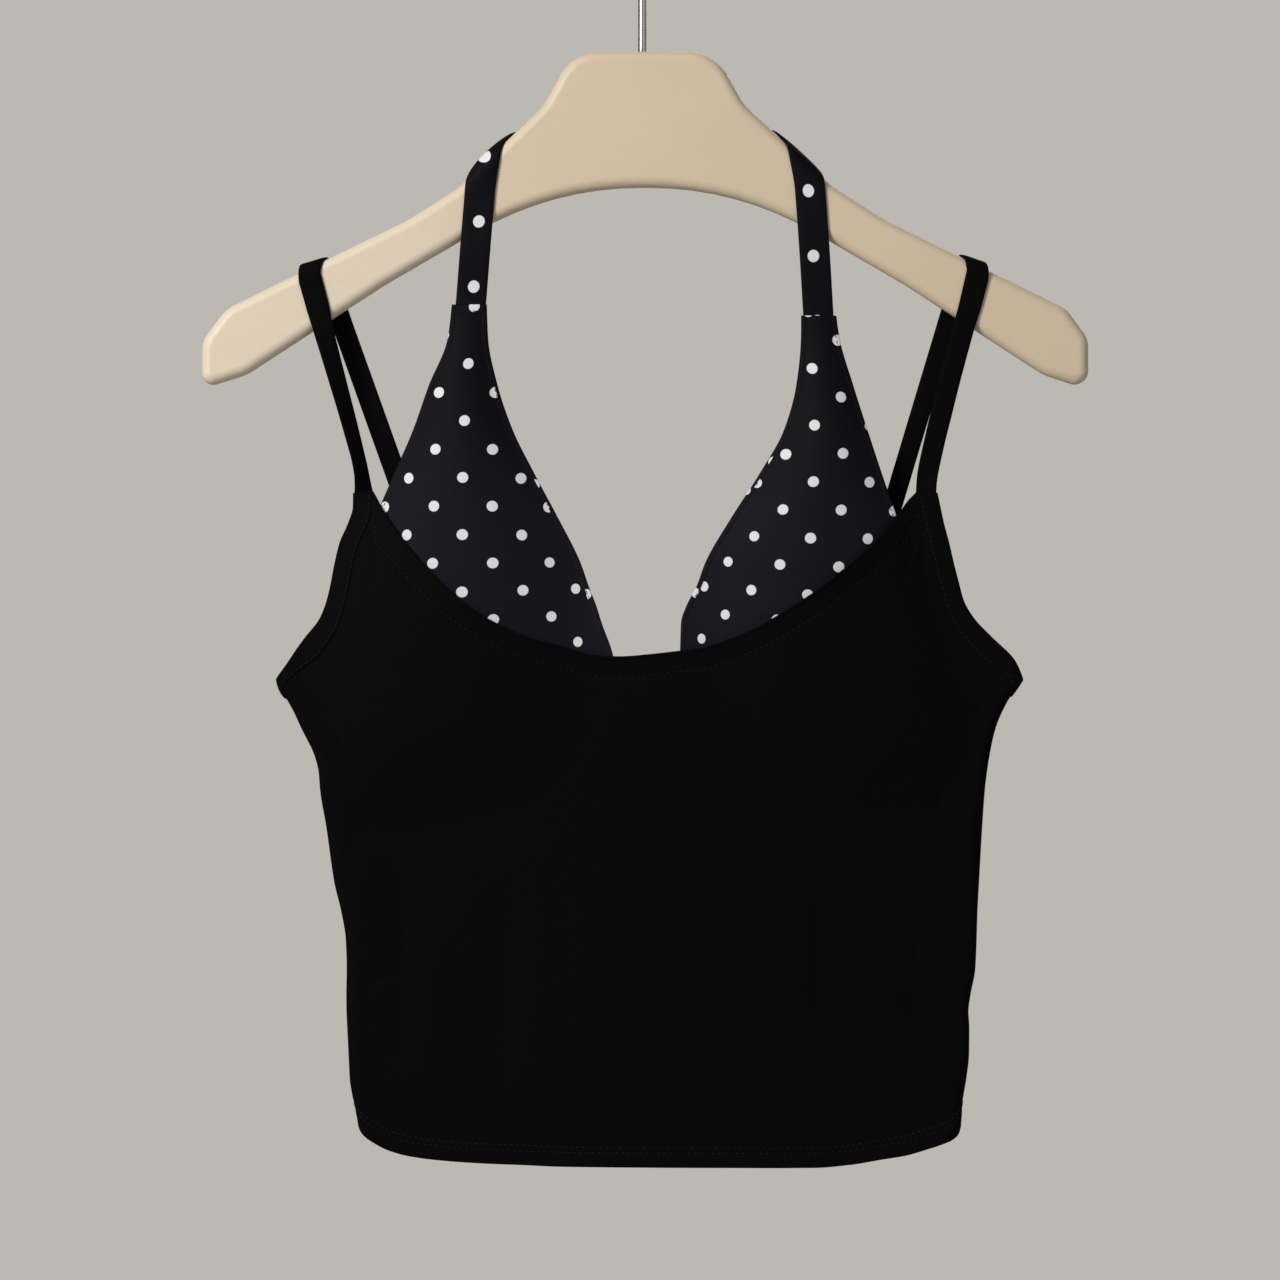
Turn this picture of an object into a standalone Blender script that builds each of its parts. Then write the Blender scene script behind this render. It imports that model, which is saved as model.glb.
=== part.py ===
"""A black halter yoga top hanging on a clothes hanger.

The top is two garments sewn as one: an outer camisole (front, back, two shoulder straps, two armhole
bands) and an inner halter bra (two cups and one strap that goes round the neck). The hanger holds both
pairs of straps.

Sizes are in millimetres and become metres where a mesh is made. +Z is up and the front faces -Y. Left
and right are the viewer's. The origin is the inside of the hook's top, where a rail would carry it.
"Drop" is a height measured downwards from the hanger's top edge.
"""

import bisect
import math
from collections import namedtuple

import bmesh
import bpy
from mathutils import Matrix, Vector

MM = 0.001
SEAM_GAP = 0.3
SIDE_SEAM_INSET = 0.22
LEFT = -1
RIGHT = 1

HOOK_RISE = 82.0
WIRE = 3.8
HOOK_RADIUS = 22.0
HOOK_START = math.radians(200)
HOOK_END = math.radians(-70)
STEM_X = -1.3

HANGER_THICKNESS = 12.0
HANGER_EDGE = 4.5

PANEL_WALL = 1.4
CUP_WALL = 2.0
CUP_CLEARANCE = 0.7
STRAP_WALL = 1.6
STRAP_CLEARANCE = 0.4
SHOULDER_STRAP_WIDTH = 9.0
HALTER_STRAP_WIDTH = 13.3
BAND_WIDTH = 5.5
BAND_WALL = 1.0
BAND_CLEARANCE = 0.4

SIDE_FOLD = 5.0
NECK_HALF = 122.6
NECK_DEPTH = 74.8
NECK_ROUNDNESS = 0.88
STRAP_SEAT_DROP = 198.4
STRAP_SEAT_END = NECK_HALF + SHOULDER_STRAP_WIDTH
UNDERARM_DROP = 283.5
HEM_SIDE_DROP = 487.0
HEM_DIP = 17.0
CUP_BASE_DROP = 300.0
CUP_BASE_DIP = 45.0
CUP_BLEND = 4.0
CUP_FADE = 12.0

# The hanger's right half, clockwise from the top: each corner of the outline and the arc that rounds it.
Corner = namedtuple("Corner", "x drop radius")
HANGER_CORNERS = (
    Corner(32.0, 0.0, 14.0),
    Corner(44.5, 24.2, 30.0),
    Corner(84.0, 60.5, 30.0),
    Corner(108.0, 74.5, 60.0),
    Corner(190.0, 116.0, 16.0),
    Corner(200.0, 129.0, 12.0),
    Corner(200.0, 151.0, 5.0),
    Corner(180.0, 146.0, 25.0),
    Corner(41.8, 61.0, 147.0),
)

# Half widths of the camisole, from the centre to the side fold.
Width = namedtuple("Width", "drop left right")
BODY_WIDTHS = (
    Width(283.5, 166.3, 169.5),
    Width(288.0, 164.8, 167.0),
    Width(297.0, 158.9, 161.2),
    Width(310.0, 152.6, 156.2),
    Width(320.0, 148.5, 154.3),
    Width(330.0, 146.5, 153.3),
    Width(345.0, 145.0, 152.5),
    Width(370.0, 141.0, 150.8),
    Width(400.0, 135.5, 149.0),
    Width(420.0, 134.5, 147.6),
    Width(450.0, 133.6, 145.5),
    Width(475.0, 131.0, 143.0),
    Width(487.0, 128.5, 141.8),
)

# The armhole's edge, from the strap's seat to the underarm, as distances from the centre.
ARMHOLE = (
    Width(STRAP_SEAT_DROP, STRAP_SEAT_END, STRAP_SEAT_END),
    Width(216.0, 135.2, 135.0),
    Width(234.0, 140.3, 139.5),
    Width(252.0, 145.2, 145.2),
    Width(261.0, 149.9, 151.6),
    Width(270.0, 156.7, 160.6),
    Width(278.0, 163.4, 167.6),
    Width(283.5, 166.3, 169.5),
)

# How far the front and the back stand out at their middle.
Belly = namedtuple("Belly", "drop front back")
BELLIES = (
    Belly(110.0, 8.0, 10.0),
    Belly(197.0, 9.0, 10.0),
    Belly(240.0, 12.0, 10.0),
    Belly(273.0, 16.0, 10.0),
    Belly(300.0, 17.0, 10.5),
    Belly(400.0, 14.0, 12.0),
    Belly(504.0, 12.0, 13.0),
)

# The back's top edge, from the centre to the underarm. A strap is sewn on where it is highest.
BackTop = namedtuple("BackTop", "x drop")
BACK_TOP = (
    BackTop(0.0, 298.0),
    BackTop(83.0, 284.0),
    BackTop(125.0, 290.0),
    BackTop(172.5, 283.5),
)

# The cups' outer and inner edges as distances from the centre, and the depth at their edge and crown.
CupSection = namedtuple("CupSection", "drop left_outer left_inner right_inner right_outer rim crown")
CUP_SECTIONS = (
    CupSection(114.0, 87.0, 71.8, 70.8, 86.0, 6.0, 2.0),
    CupSection(130.0, 89.8, 70.2, 71.0, 89.0, 6.8, 3.0),
    CupSection(150.0, 98.2, 65.8, 67.5, 94.7, 7.5, 5.0),
    CupSection(170.0, 105.4, 59.0, 61.8, 101.2, 8.0, 7.5),
    CupSection(190.0, 114.0, 49.2, 50.8, 107.7, 8.3, 9.5),
    CupSection(210.0, 122.5, 38.7, 38.2, 114.5, 8.5, 10.8),
    CupSection(230.0, 130.0, 29.0, 27.8, 121.5, 8.5, 11.6),
    CupSection(250.0, 136.0, 21.0, 18.6, 128.0, 8.5, 12.0),
    CupSection(273.0, 140.0, 14.3, 16.3, 134.0, 8.5, 12.0),
    CupSection(300.0, 141.0, 11.0, 13.0, 137.0, 8.5, 11.0),
    CupSection(330.0, 141.0, 11.0, 13.0, 137.0, 6.5, 7.0),
    CupSection(355.0, 141.0, 11.0, 13.0, 137.0, 1.0, 2.0),
)
CUP_APEX = {LEFT: 114.5, RIGHT: 119.5}

# Each shoulder strap: where it crosses the hanger's arm in front and behind, where it meets the back,
# and how far it turns about its own length on the way down in front.
ShoulderStrap = namedtuple("ShoulderStrap", "side front_x back_x back_seat_x twist")
SHOULDER_STRAPS = (
    ShoulderStrap(LEFT, 152.6, 147.0, 81.0, math.radians(52)),
    ShoulderStrap(RIGHT, 151.6, 146.0, 86.0, math.radians(8)),
)
# The turn's greatest and last points, as shares of the way up from the seat to the hanger.
TWIST_PEAK = 0.2
TWIST_TOP = 0.66
# A strap lies flat against the hanger from this share of its way up, in front and behind.
FLAT_FROM = {"front": 0.65, "behind": 0.75}
# In this last share of its way up it turns to lie square to the hanger's edge.
SQUARE_TO_EDGE = 0.15

# The halter strap crosses the hanger's inner slope here, and then runs level behind the hanger's neck.
HALTER_CROSSING_X = 73.9
HALTER_RIGHT_INSET = 1.2


def smooth_through(table, column, at):
    """A column's value on a smooth curve through the table's rows, which overshoots none of them."""
    knots = [row[0] for row in table]
    values = [getattr(row, column) for row in table]
    at = min(max(at, knots[0]), knots[-1])
    start = min(bisect.bisect_right(knots, at), len(knots) - 1) - 1
    slopes = [
        (values[i + 1] - values[i]) / (knots[i + 1] - knots[i]) for i in range(len(knots) - 1)
    ]

    def tangent(knot):
        before = slopes[max(knot - 1, 0)]
        after = slopes[min(knot, len(slopes) - 1)]
        return 2 * before * after / (before + after) if before * after > 0 else 0.0

    span = knots[start + 1] - knots[start]
    t = (at - knots[start]) / span
    return (
        values[start] * (1 + 2 * t) * (1 - t) ** 2
        + values[start + 1] * t * t * (3 - 2 * t)
        + tangent(start) * span * t * (1 - t) ** 2
        - tangent(start + 1) * span * t * t * (1 - t)
    )


def ease(t):
    t = min(max(t, 0.0), 1.0)
    return t * t * (3 - 2 * t)


def mix(start, end, t):
    return start + (end - start) * t


def point(x, y, drop):
    return Vector((x, y, -(HOOK_RISE + drop)))


def side_name(side):
    return "left" if side < 0 else "right"


def material(name, colour, roughness, metallic=0.0):
    made = bpy.data.materials.new(name)
    made.use_nodes = True
    shader = made.node_tree.nodes["Principled BSDF"]
    shader.inputs["Base Color"].default_value = (*colour, 1.0)
    shader.inputs["Roughness"].default_value = roughness
    shader.inputs["Metallic"].default_value = metallic
    return made


def add_object(name, data, finish, collection):
    made = bpy.data.objects.new(name, data)
    data.materials.append(finish)
    collection.objects.link(made)
    return made


def cloth(name, columns, rows, place, finish, collection):
    """A wall of cloth: a grid with a thickness, each point laid where place(column, row, depth) says.

    Depth is 0 on the outer face and 1 on the inner face.
    """
    bm = bmesh.new()
    bmesh.ops.create_grid(bm, x_segments=len(columns) - 1, y_segments=len(rows) - 1, size=1.0)
    bmesh.ops.solidify(bm, geom=bm.faces[:], thickness=1.0)
    for vert in bm.verts:
        column = columns[round((vert.co.x + 1) / 2 * (len(columns) - 1))]
        row = rows[round((vert.co.y + 1) / 2 * (len(rows) - 1))]
        vert.co = place(column, row, abs(vert.co.z)) * MM
    if bm.calc_volume(signed=True) < 0:
        bmesh.ops.reverse_faces(bm, faces=bm.faces[:])
    mesh = bpy.data.meshes.new(name)
    bm.to_mesh(mesh)
    bm.free()
    mesh.shade_smooth()
    mesh.set_sharp_from_angle(angle=math.radians(50))
    return add_object(name, mesh, finish, collection)


def even(count, start=0.0, end=1.0):
    return [mix(start, end, i / count) for i in range(count + 1)]


def crowded(count, share):
    """Steps from 0 to 1 that come closer together towards 1. Share 0 leaves them even."""
    return [mix(part, math.sin(part * math.pi / 2), share) for part in even(count)]


# The camisole's surface: a flattened tube with a soft fold at each side


def flat_half(side, drop):
    return smooth_through(BODY_WIDTHS, side_name(side), drop) - SIDE_FOLD


def half_girth(side, drop):
    """Distance over the cloth from the centre to the side seam."""
    return flat_half(side, drop) + SIDE_FOLD * math.pi / 2 - SIDE_SEAM_INSET


def girth_of(x, drop):
    """Distance over the cloth, from the centre, of a point seen at x."""
    side = LEFT if x < 0 else RIGHT
    flat = flat_half(side, drop)
    beyond = (abs(x) - flat) / SIDE_FOLD
    if beyond <= 0:
        return x
    return side * min(flat + SIDE_FOLD * math.asin(min(beyond, 1.0)), half_girth(side, drop))


def cup_span(side, drop):
    """Inner and outer edge of a cup, as distances from the centre."""
    name = side_name(side)
    return (
        smooth_through(CUP_SECTIONS, name + "_inner", drop),
        smooth_through(CUP_SECTIONS, name + "_outer", drop),
    )


def cup_depth(x, drop):
    side = LEFT if x < 0 else RIGHT
    inner, outer = cup_span(side, drop)
    across = (abs(x) - (inner + outer) / 2) / ((outer - inner) / 2)
    rim = smooth_through(CUP_SECTIONS, "rim", drop)
    crown = smooth_through(CUP_SECTIONS, "crown", drop)
    return rim + crown * (1 - across * across)


def front_surface(girth, drop):
    """The front's outer face: a belly, pushed out where a cup lies under it."""
    side = LEFT if girth < 0 else RIGHT
    flat = flat_half(side, drop)
    beyond = abs(girth) - flat
    if beyond > 0:
        angle = beyond / SIDE_FOLD
        x = side * (flat + SIDE_FOLD * math.sin(angle))
        return point(x, -SIDE_FOLD * math.cos(angle), drop)
    belly = smooth_through(BELLIES, "front", drop)
    depth = SIDE_FOLD + (belly - SIDE_FOLD) * (1 - (girth / flat) ** 2) ** 2
    proud = cup_depth(girth, drop) - depth
    if proud > -CUP_BLEND:
        push = proud if proud > CUP_BLEND else (proud + CUP_BLEND) ** 2 / (4 * CUP_BLEND)
        depth += push * ease(-beyond / CUP_FADE)
    return point(girth, -depth, drop)


def back_surface(girth, drop):
    """The back's outer face."""
    side = LEFT if girth < 0 else RIGHT
    flat = flat_half(side, drop)
    beyond = abs(girth) - flat
    if beyond > 0:
        angle = beyond / SIDE_FOLD
        x = side * (flat + SIDE_FOLD * math.sin(angle))
        return point(x, SIDE_FOLD * math.cos(angle), drop)
    belly = smooth_through(BELLIES, "back", drop)
    depth = SIDE_FOLD + (belly - SIDE_FOLD) * (1 - (girth / flat) ** 2) ** 2
    return point(girth, depth, drop)


def raised(surface, girth, drop, height):
    """The point this far outside a surface, along its normal."""
    step = 0.4
    here = surface(girth, drop)
    across = surface(girth + step, drop) - surface(girth - step, drop)
    down = surface(girth, drop + step) - surface(girth, drop - step)
    normal = across.cross(down).normalized()
    outward = -1 if surface is front_surface else 1
    return here + normal * height * outward


# The outlines of the pieces, over the cloth


def neckline_drop(x):
    return STRAP_SEAT_DROP + NECK_DEPTH * (1 - (x / NECK_HALF) ** 2) ** NECK_ROUNDNESS


def armhole_point(side, part):
    """Girth from the centre and drop, from the strap's seat at part 0 to the side seam at part 1."""
    drop = mix(STRAP_SEAT_DROP, UNDERARM_DROP, part)
    x = smooth_through(ARMHOLE, side_name(side), drop)
    return abs(girth_of(side * x, drop)), drop


def hem_drop(side_part):
    """The hem's drop, from the centre at 0 to a side seam at 1: level, with rounded corners."""
    return HEM_SIDE_DROP + HEM_DIP * max(1 - abs(side_part) ** 4, 0.0) ** 0.5


def front_top_edge():
    """Girth and drop of each column's top, from the left seam to the right one."""
    neck_columns, seat_columns, armhole_columns = 10, 2, 9
    halves = {}
    for side in (LEFT, RIGHT):
        edge = []
        for part in crowded(neck_columns, 0.5)[1:]:
            edge.append((side * NECK_HALF * part, neckline_drop(NECK_HALF * part)))
        for part in even(seat_columns)[1:]:
            edge.append((side * mix(NECK_HALF, STRAP_SEAT_END, part), STRAP_SEAT_DROP))
        for part in even(armhole_columns)[1:]:
            girth, drop = armhole_point(side, part)
            edge.append((side * girth, drop))
        halves[side] = edge
    return halves[LEFT][::-1] + [(0.0, neckline_drop(0.0))] + halves[RIGHT]


def back_top_edge():
    """Girth and drop of each column's top, from the left seam to the right one."""
    halves = {}
    for side in (LEFT, RIGHT):
        reach = half_girth(side, UNDERARM_DROP)
        girths = [reach * part for part in crowded(14, 0.4)[1:]]
        halves[side] = [(side * girth, smooth_through(BACK_TOP, "drop", girth)) for girth in girths]
    return halves[LEFT][::-1] + [(0.0, BACK_TOP[0].drop)] + halves[RIGHT]


def panel(name, surface, top_edge, row_count, finish, collection):
    """A front or back: each column runs from the top edge to the hem at a fixed share of the girth.

    The rows are closest together at the top, where the cups push the front out.
    """

    def place(column, row, depth):
        top_girth, top_drop = column
        side = LEFT if top_girth < 0 else RIGHT
        share = abs(top_girth) / half_girth(side, top_drop)
        drop = mix(top_drop, hem_drop(share), row)
        return raised(surface, side * share * half_girth(side, drop), drop, -PANEL_WALL * depth)

    rows = [1 - part for part in reversed(crowded(row_count, 0.6))]
    return cloth(name, top_edge, rows, place, finish, collection)


def cup(side, finish, collection):
    """A cup lies just inside the front, and shows above its neckline. Its lower edge is rounded."""
    crosswise = [math.sin(part * math.pi / 2) for part in even(12, -1.0, 1.0)]

    def place(column, row, depth):
        base = CUP_BASE_DROP + CUP_BASE_DIP * math.sqrt(max(1 - column * column, 0.0))
        drop = mix(CUP_APEX[side], base, row)
        inner, outer = cup_span(side, drop)
        x = mix(inner, outer, (column + 1) / 2)
        inset = PANEL_WALL + CUP_CLEARANCE + CUP_WALL * depth
        return raised(front_surface, side * x, drop, -inset)

    return cloth("cup_" + side_name(side), crosswise, even(16), place, finish, collection)


def armhole_band(side, finish, collection):
    """The band sewn along the armhole's edge, on the front's outer face. It ends along the side seam."""
    probe = 0.02
    seam_turn = 0.2

    def place(column, row, depth):
        girth, drop = armhole_point(side, row)
        before = Vector(armhole_point(side, max(row - probe, 0.0)))
        after = Vector(armhole_point(side, min(row + probe, 1.0)))
        along = (after - before).normalized()
        into_cloth = Vector((-along.y, along.x))
        down_seam = Vector((half_girth(side, UNDERARM_DROP + BAND_WIDTH) - girth, BAND_WIDTH))
        into_cloth = into_cloth.lerp(down_seam.normalized(), ease(1 - (1 - row) / seam_turn))
        girth += into_cloth.x * BAND_WIDTH * column
        drop += into_cloth.y * BAND_WIDTH * column
        height = BAND_CLEARANCE + BAND_WALL * (1 - depth)
        return raised(front_surface, side * girth, drop, height)

    name = "armhole_band_" + side_name(side)
    return cloth(name, even(2), even(22, probe / 2, 1.0), place, finish, collection)


# Straps: flat ribbons that go over one of the hanger's straight top edges


class Edge:
    """A straight top edge of the hanger, and the way over it from the front face to the back face.

    Flat coordinates: along the edge, outwards, and over it. Over is 0 where the front face starts to
    round, and wrap where the back face begins. It is measured on the strap's inner face.
    """

    rounding = HANGER_EDGE + STRAP_CLEARANCE
    quarter = rounding * math.pi / 2
    crest = HANGER_THICKNESS - 2 * HANGER_EDGE
    wrap = 2 * quarter + crest

    def __init__(self, side, inner, outer):
        self.side = side
        self.start = Vector((inner.x, -inner.drop))
        self.out = (Vector((outer.x, -outer.drop)) - self.start).normalized()
        self.up = Vector((-self.out.y, self.out.x))
        self.start -= self.up * HANGER_EDGE

    def flat(self, x, drop, behind=False):
        """Flat coordinates of a point of the front or the back, given by its distance from the centre."""
        offset = Vector((x, -drop)) - self.start
        over = offset.dot(self.up)
        return Vector((offset.dot(self.out), self.wrap - over if behind else over))

    def crossing(self, x, behind=False):
        """Where a strap seen at x, on the edge's own height, starts over it."""
        along = (x - self.start.x) / self.out.x
        return Vector((along, self.wrap if behind else 0.0))

    def place(self, along, over, lift):
        """The point that lies this far outside the hanger's surface."""
        radius = HANGER_EDGE + lift
        middle = self.crest / 2
        if over < 0:
            height, y = over, -(middle + radius)
        elif over < self.quarter:
            angle = over / self.rounding
            height, y = radius * math.sin(angle), -(middle + radius * math.cos(angle))
        elif over < self.quarter + self.crest:
            height, y = radius, over - self.quarter - middle
        elif over < self.wrap:
            angle = (over - self.quarter - self.crest) / self.rounding
            height, y = radius * math.cos(angle), middle + radius * math.sin(angle)
        else:
            height, y = self.wrap - over, middle + radius
        seen = self.start + self.out * along + self.up * height
        return point(self.side * seen.x, y, -seen.y)


def strap_section(crosswise, depth, middle, twist):
    """How far across a strap a point of its section lies, and how far outside the hanger's surface."""
    width = SHOULDER_STRAP_WIDTH * crosswise
    wall = STRAP_WALL * (0.5 - depth)
    across = width * math.cos(twist) - wall * math.sin(twist)
    return across, middle + width * math.sin(twist) + wall * math.cos(twist)


def wall_middle(surface, girth, drop):
    """Depth of the middle of a panel's wall, beyond the hanger's face."""
    y = raised(surface, girth, drop, -PANEL_WALL / 2).y
    return abs(y) - HANGER_THICKNESS / 2


def shoulder_strap(strap, finish, collection):
    edge = Edge(strap.side, HANGER_CORNERS[3], HANGER_CORNERS[4])
    seat_x = (NECK_HALF + STRAP_SEAT_END) / 2
    back_drop = smooth_through(BACK_TOP, "drop", strap.back_seat_x)
    clear = STRAP_WALL / 2 + STRAP_CLEARANCE
    front_seat = edge.flat(seat_x, STRAP_SEAT_DROP - SEAM_GAP)
    front_edge = edge.crossing(strap.front_x)
    back_edge = edge.crossing(strap.back_x, behind=True)
    back_seat = edge.flat(strap.back_seat_x, back_drop - SEAM_GAP, behind=True)
    front_lift = wall_middle(front_surface, strap.side * seat_x, STRAP_SEAT_DROP)
    back_lift = wall_middle(back_surface, strap.side * strap.back_seat_x, back_drop)
    level = Vector((edge.out.x, edge.up.x))
    square = Vector((1.0, 0.0))

    def centre_of(row):
        """Flat place, side direction, height of the strap's middle over the hanger, and twist."""
        twist = 0.0
        if row < 1:
            up = row
            centre = front_seat.lerp(front_edge, up)
            beside = level
            middle = mix(front_lift, clear, ease(up / FLAT_FROM["front"]))
            if up < TWIST_PEAK:
                twist = strap.twist * ease(up / TWIST_PEAK)
            else:
                twist = strap.twist * ease((TWIST_TOP - up) / (TWIST_TOP - TWIST_PEAK))
        elif row < 2:
            return front_edge.lerp(back_edge, row - 1), square, clear, twist
        else:
            up = 3 - row
            centre = back_seat.lerp(back_edge, up)
            beside = Vector((level.x, -level.y))
            middle = mix(back_lift, clear, ease(up / FLAT_FROM["behind"]))
        beside = beside.lerp(square, ease(1 - (1 - up) / SQUARE_TO_EDGE))
        return centre, beside, middle, twist

    def place(column, row, depth):
        centre, beside, middle, twist = centre_of(row)
        across, lift = strap_section(column, depth, middle, twist)
        flat = centre + beside * across
        return edge.place(flat.x, flat.y, lift)

    rows = even(20) + even(14, 1.0, 2.0)[1:] + even(20, 2.0, 3.0)[1:]
    name = "shoulder_strap_" + side_name(strap.side)
    return cloth(name, even(2, -0.5, 0.5), rows, place, finish, collection)


def halter_strap(finish, collection):
    """One flat strip, wrapped without stretch over both slopes, from cup to cup behind the neck.

    It lies level behind the hanger, so in front it leans by the slope's own angle, twice over.
    """
    inner, outer = HANGER_CORNERS[1], HANGER_CORNERS[2]
    halves = {}
    for side in (LEFT, RIGHT):
        edge = Edge(side, inner, outer)
        heading = Vector((-edge.out.x, edge.up.x))
        crossing = edge.crossing(HALTER_CROSSING_X)
        down = -(edge.out * heading.x + edge.up * heading.y)
        end_drop = CUP_APEX[side] - STRAP_CLEARANCE - HALTER_STRAP_WIDTH / 2 * abs(down.x)
        crossing_drop = -(edge.start + edge.out * crossing.x).y
        hanging = (end_drop - crossing_drop) / -down.y
        # Behind the hanger the strip is level, so its length to the centre is its x there.
        past_edge = crossing + heading * (edge.wrap / heading.y)
        behind_x = (edge.start + edge.out * past_edge.x).x
        halves[side] = edge, heading, crossing, hanging, edge.wrap / heading.y + behind_x

    def place(column, row, depth):
        side = LEFT if row < 0 else RIGHT
        edge, heading, crossing, hanging, beyond = halves[side]
        gone = mix(beyond, -hanging, abs(row))
        beside = Vector((heading.y, -heading.x))
        flat = crossing + heading * gone + beside * HALTER_STRAP_WIDTH * column
        made = edge.place(flat.x, flat.y, STRAP_CLEARANCE + STRAP_WALL * (1 - depth))
        if side == RIGHT and gone < 0:
            made.x -= HALTER_RIGHT_INSET * ease(-gone / hanging)
        return made

    half = even(10, 0.0, 0.32) + even(28, 0.32, 0.66)[1:] + even(6, 0.66, 1.0)[1:]
    rows = [-part for part in half[:0:-1]] + half
    return cloth("halter_strap", even(4, -0.5, 0.5), rows, place, finish, collection)


# The hanger


def rounded_outline(corners, step=math.radians(10)):
    """A closed outline with each corner replaced by an arc of its own radius."""
    outline = []
    places = [Vector((corner.x, -corner.drop)) for corner in corners]
    for i, corner in enumerate(corners):
        here = places[i]
        heading = (here - places[i - 1]).normalized()
        leaving = (places[(i + 1) % len(places)] - here).normalized()
        turn = math.atan2(heading.cross(leaving), heading.dot(leaving))
        bend = math.copysign(corner.radius, turn)
        start = here - heading * corner.radius * math.tan(abs(turn) / 2)
        centre = start + Vector((-heading.y, heading.x)) * bend
        pieces = max(2, math.ceil(abs(turn) / step))
        for angle in even(pieces, 0.0, turn):
            outline.append(centre + Matrix.Rotation(angle, 2) @ (start - centre))
    return outline


def poly_curve(name, points, closed):
    curve = bpy.data.curves.new(name, "CURVE")
    spline = curve.splines.new("POLY")
    spline.points.add(len(points) - 1)
    for made, place in zip(spline.points, points):
        made.co = (*(value * MM for value in place), 1.0)
    spline.use_cyclic_u = closed
    return curve


def hanger(finish, collection):
    """A flat board with rounded edges. Its outline is drawn flat and then stood up."""
    mirrored = [Corner(-corner.x, corner.drop, corner.radius) for corner in HANGER_CORNERS[::-1]]
    outline = rounded_outline(list(HANGER_CORNERS) + mirrored)
    curve = poly_curve("hanger", [(x, z, 0.0) for x, z in outline], closed=True)
    curve.dimensions = "2D"
    curve.fill_mode = "BOTH"
    curve.extrude = (HANGER_THICKNESS / 2 - HANGER_EDGE) * MM
    curve.bevel_depth = HANGER_EDGE * MM
    curve.bevel_resolution = 2
    curve.offset = -HANGER_EDGE * MM
    made = add_object("hanger", curve, finish, collection)
    made.location.z = -HOOK_RISE * MM
    made.rotation_euler.x = math.pi / 2
    return made


def hook(finish, collection):
    """A wire hook: a round bight, a reverse bend and a stem that stands on the hanger's top edge."""
    centre = Vector((0.0, -(HOOK_RADIUS - WIRE / 2)))
    route = [
        (centre.x + HOOK_RADIUS * math.cos(angle), centre.y + HOOK_RADIUS * math.sin(angle))
        for angle in even(30, HOOK_START, HOOK_END)
    ]
    reach = math.cos(HOOK_END)
    bend = (HOOK_RADIUS * reach - STEM_X) / (1 - reach)
    bend_centre = Vector((STEM_X + bend, route[-1][1] + bend * math.sin(HOOK_END)))
    for angle in even(8, math.pi + HOOK_END, math.pi)[1:]:
        route.append((bend_centre.x + bend * math.cos(angle), bend_centre.y + bend * math.sin(angle)))
    foot = -(HOOK_RISE - SEAM_GAP)
    route += [(STEM_X, mix(route[-1][1], foot, part)) for part in even(4)[1:]]
    curve = poly_curve("hanger_hook", [(x, 0.0, z) for x, z in route], closed=False)
    curve.dimensions = "3D"
    curve.bevel_depth = WIRE / 2 * MM
    curve.bevel_resolution = 2
    curve.use_fill_caps = True
    return add_object("hanger_hook", curve, finish, collection)


def main():
    for old in list(bpy.data.objects):
        bpy.data.objects.remove(old)
    collection = bpy.data.collections.new("halter_yoga_top")
    bpy.context.scene.collection.children.link(collection)

    black_jersey = material("black_jersey", (0.0045, 0.0045, 0.005), 0.75)
    dotted_jersey = material("dotted_jersey", (0.006, 0.006, 0.0085), 0.55)
    cream_wood = material("cream_wood", (0.60, 0.50, 0.36), 0.4)
    steel_wire = material("steel_wire", (0.45, 0.44, 0.43), 0.3, 1.0)

    panel("front_panel", front_surface, front_top_edge(), 24, black_jersey, collection)
    panel("back_panel", back_surface, back_top_edge(), 12, black_jersey, collection)
    for side in (LEFT, RIGHT):
        cup(side, dotted_jersey, collection)
        armhole_band(side, black_jersey, collection)
    for strap in SHOULDER_STRAPS:
        shoulder_strap(strap, black_jersey, collection)
    halter_strap(dotted_jersey, collection)
    hanger(cream_wood, collection)
    hook(steel_wire, collection)


main()
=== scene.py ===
"""The looks of a black halter yoga top that hangs on a cream clothes hanger.

An outer camisole (front, back, two shoulder straps, two armhole bindings) is worn over a halter bra (two
cups and one strap round the neck) in a polka-dot print. Left and right are the viewer's.

Sizes are in millimetres and become metres where a mesh is made. "Drop" is a height measured downwards
from the hanger's top edge, and "girth" a distance over the cloth from the centre. +Z is up, and the
front faces -Y.
"""

import math
from collections import namedtuple

import bmesh
import bpy
import numpy as np
from mathutils import Matrix, Vector


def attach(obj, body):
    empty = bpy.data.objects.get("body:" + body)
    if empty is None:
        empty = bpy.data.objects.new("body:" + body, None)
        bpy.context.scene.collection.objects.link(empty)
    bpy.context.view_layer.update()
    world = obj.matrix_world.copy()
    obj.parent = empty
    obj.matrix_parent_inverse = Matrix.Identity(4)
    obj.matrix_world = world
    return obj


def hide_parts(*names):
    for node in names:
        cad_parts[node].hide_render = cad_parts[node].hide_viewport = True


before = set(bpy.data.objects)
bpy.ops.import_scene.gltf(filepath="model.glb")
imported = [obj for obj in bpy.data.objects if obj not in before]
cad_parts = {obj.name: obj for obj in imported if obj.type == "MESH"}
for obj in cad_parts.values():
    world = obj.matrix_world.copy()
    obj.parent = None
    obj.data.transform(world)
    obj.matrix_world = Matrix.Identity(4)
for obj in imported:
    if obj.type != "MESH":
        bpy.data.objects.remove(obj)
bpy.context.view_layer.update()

MM = 0.001
LEFT = -1
RIGHT = 1


def rows_of(kind, *rows):
    """A table of measures, whose rows carry the names of their columns."""
    return tuple(kind(*row) for row in rows)


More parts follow.
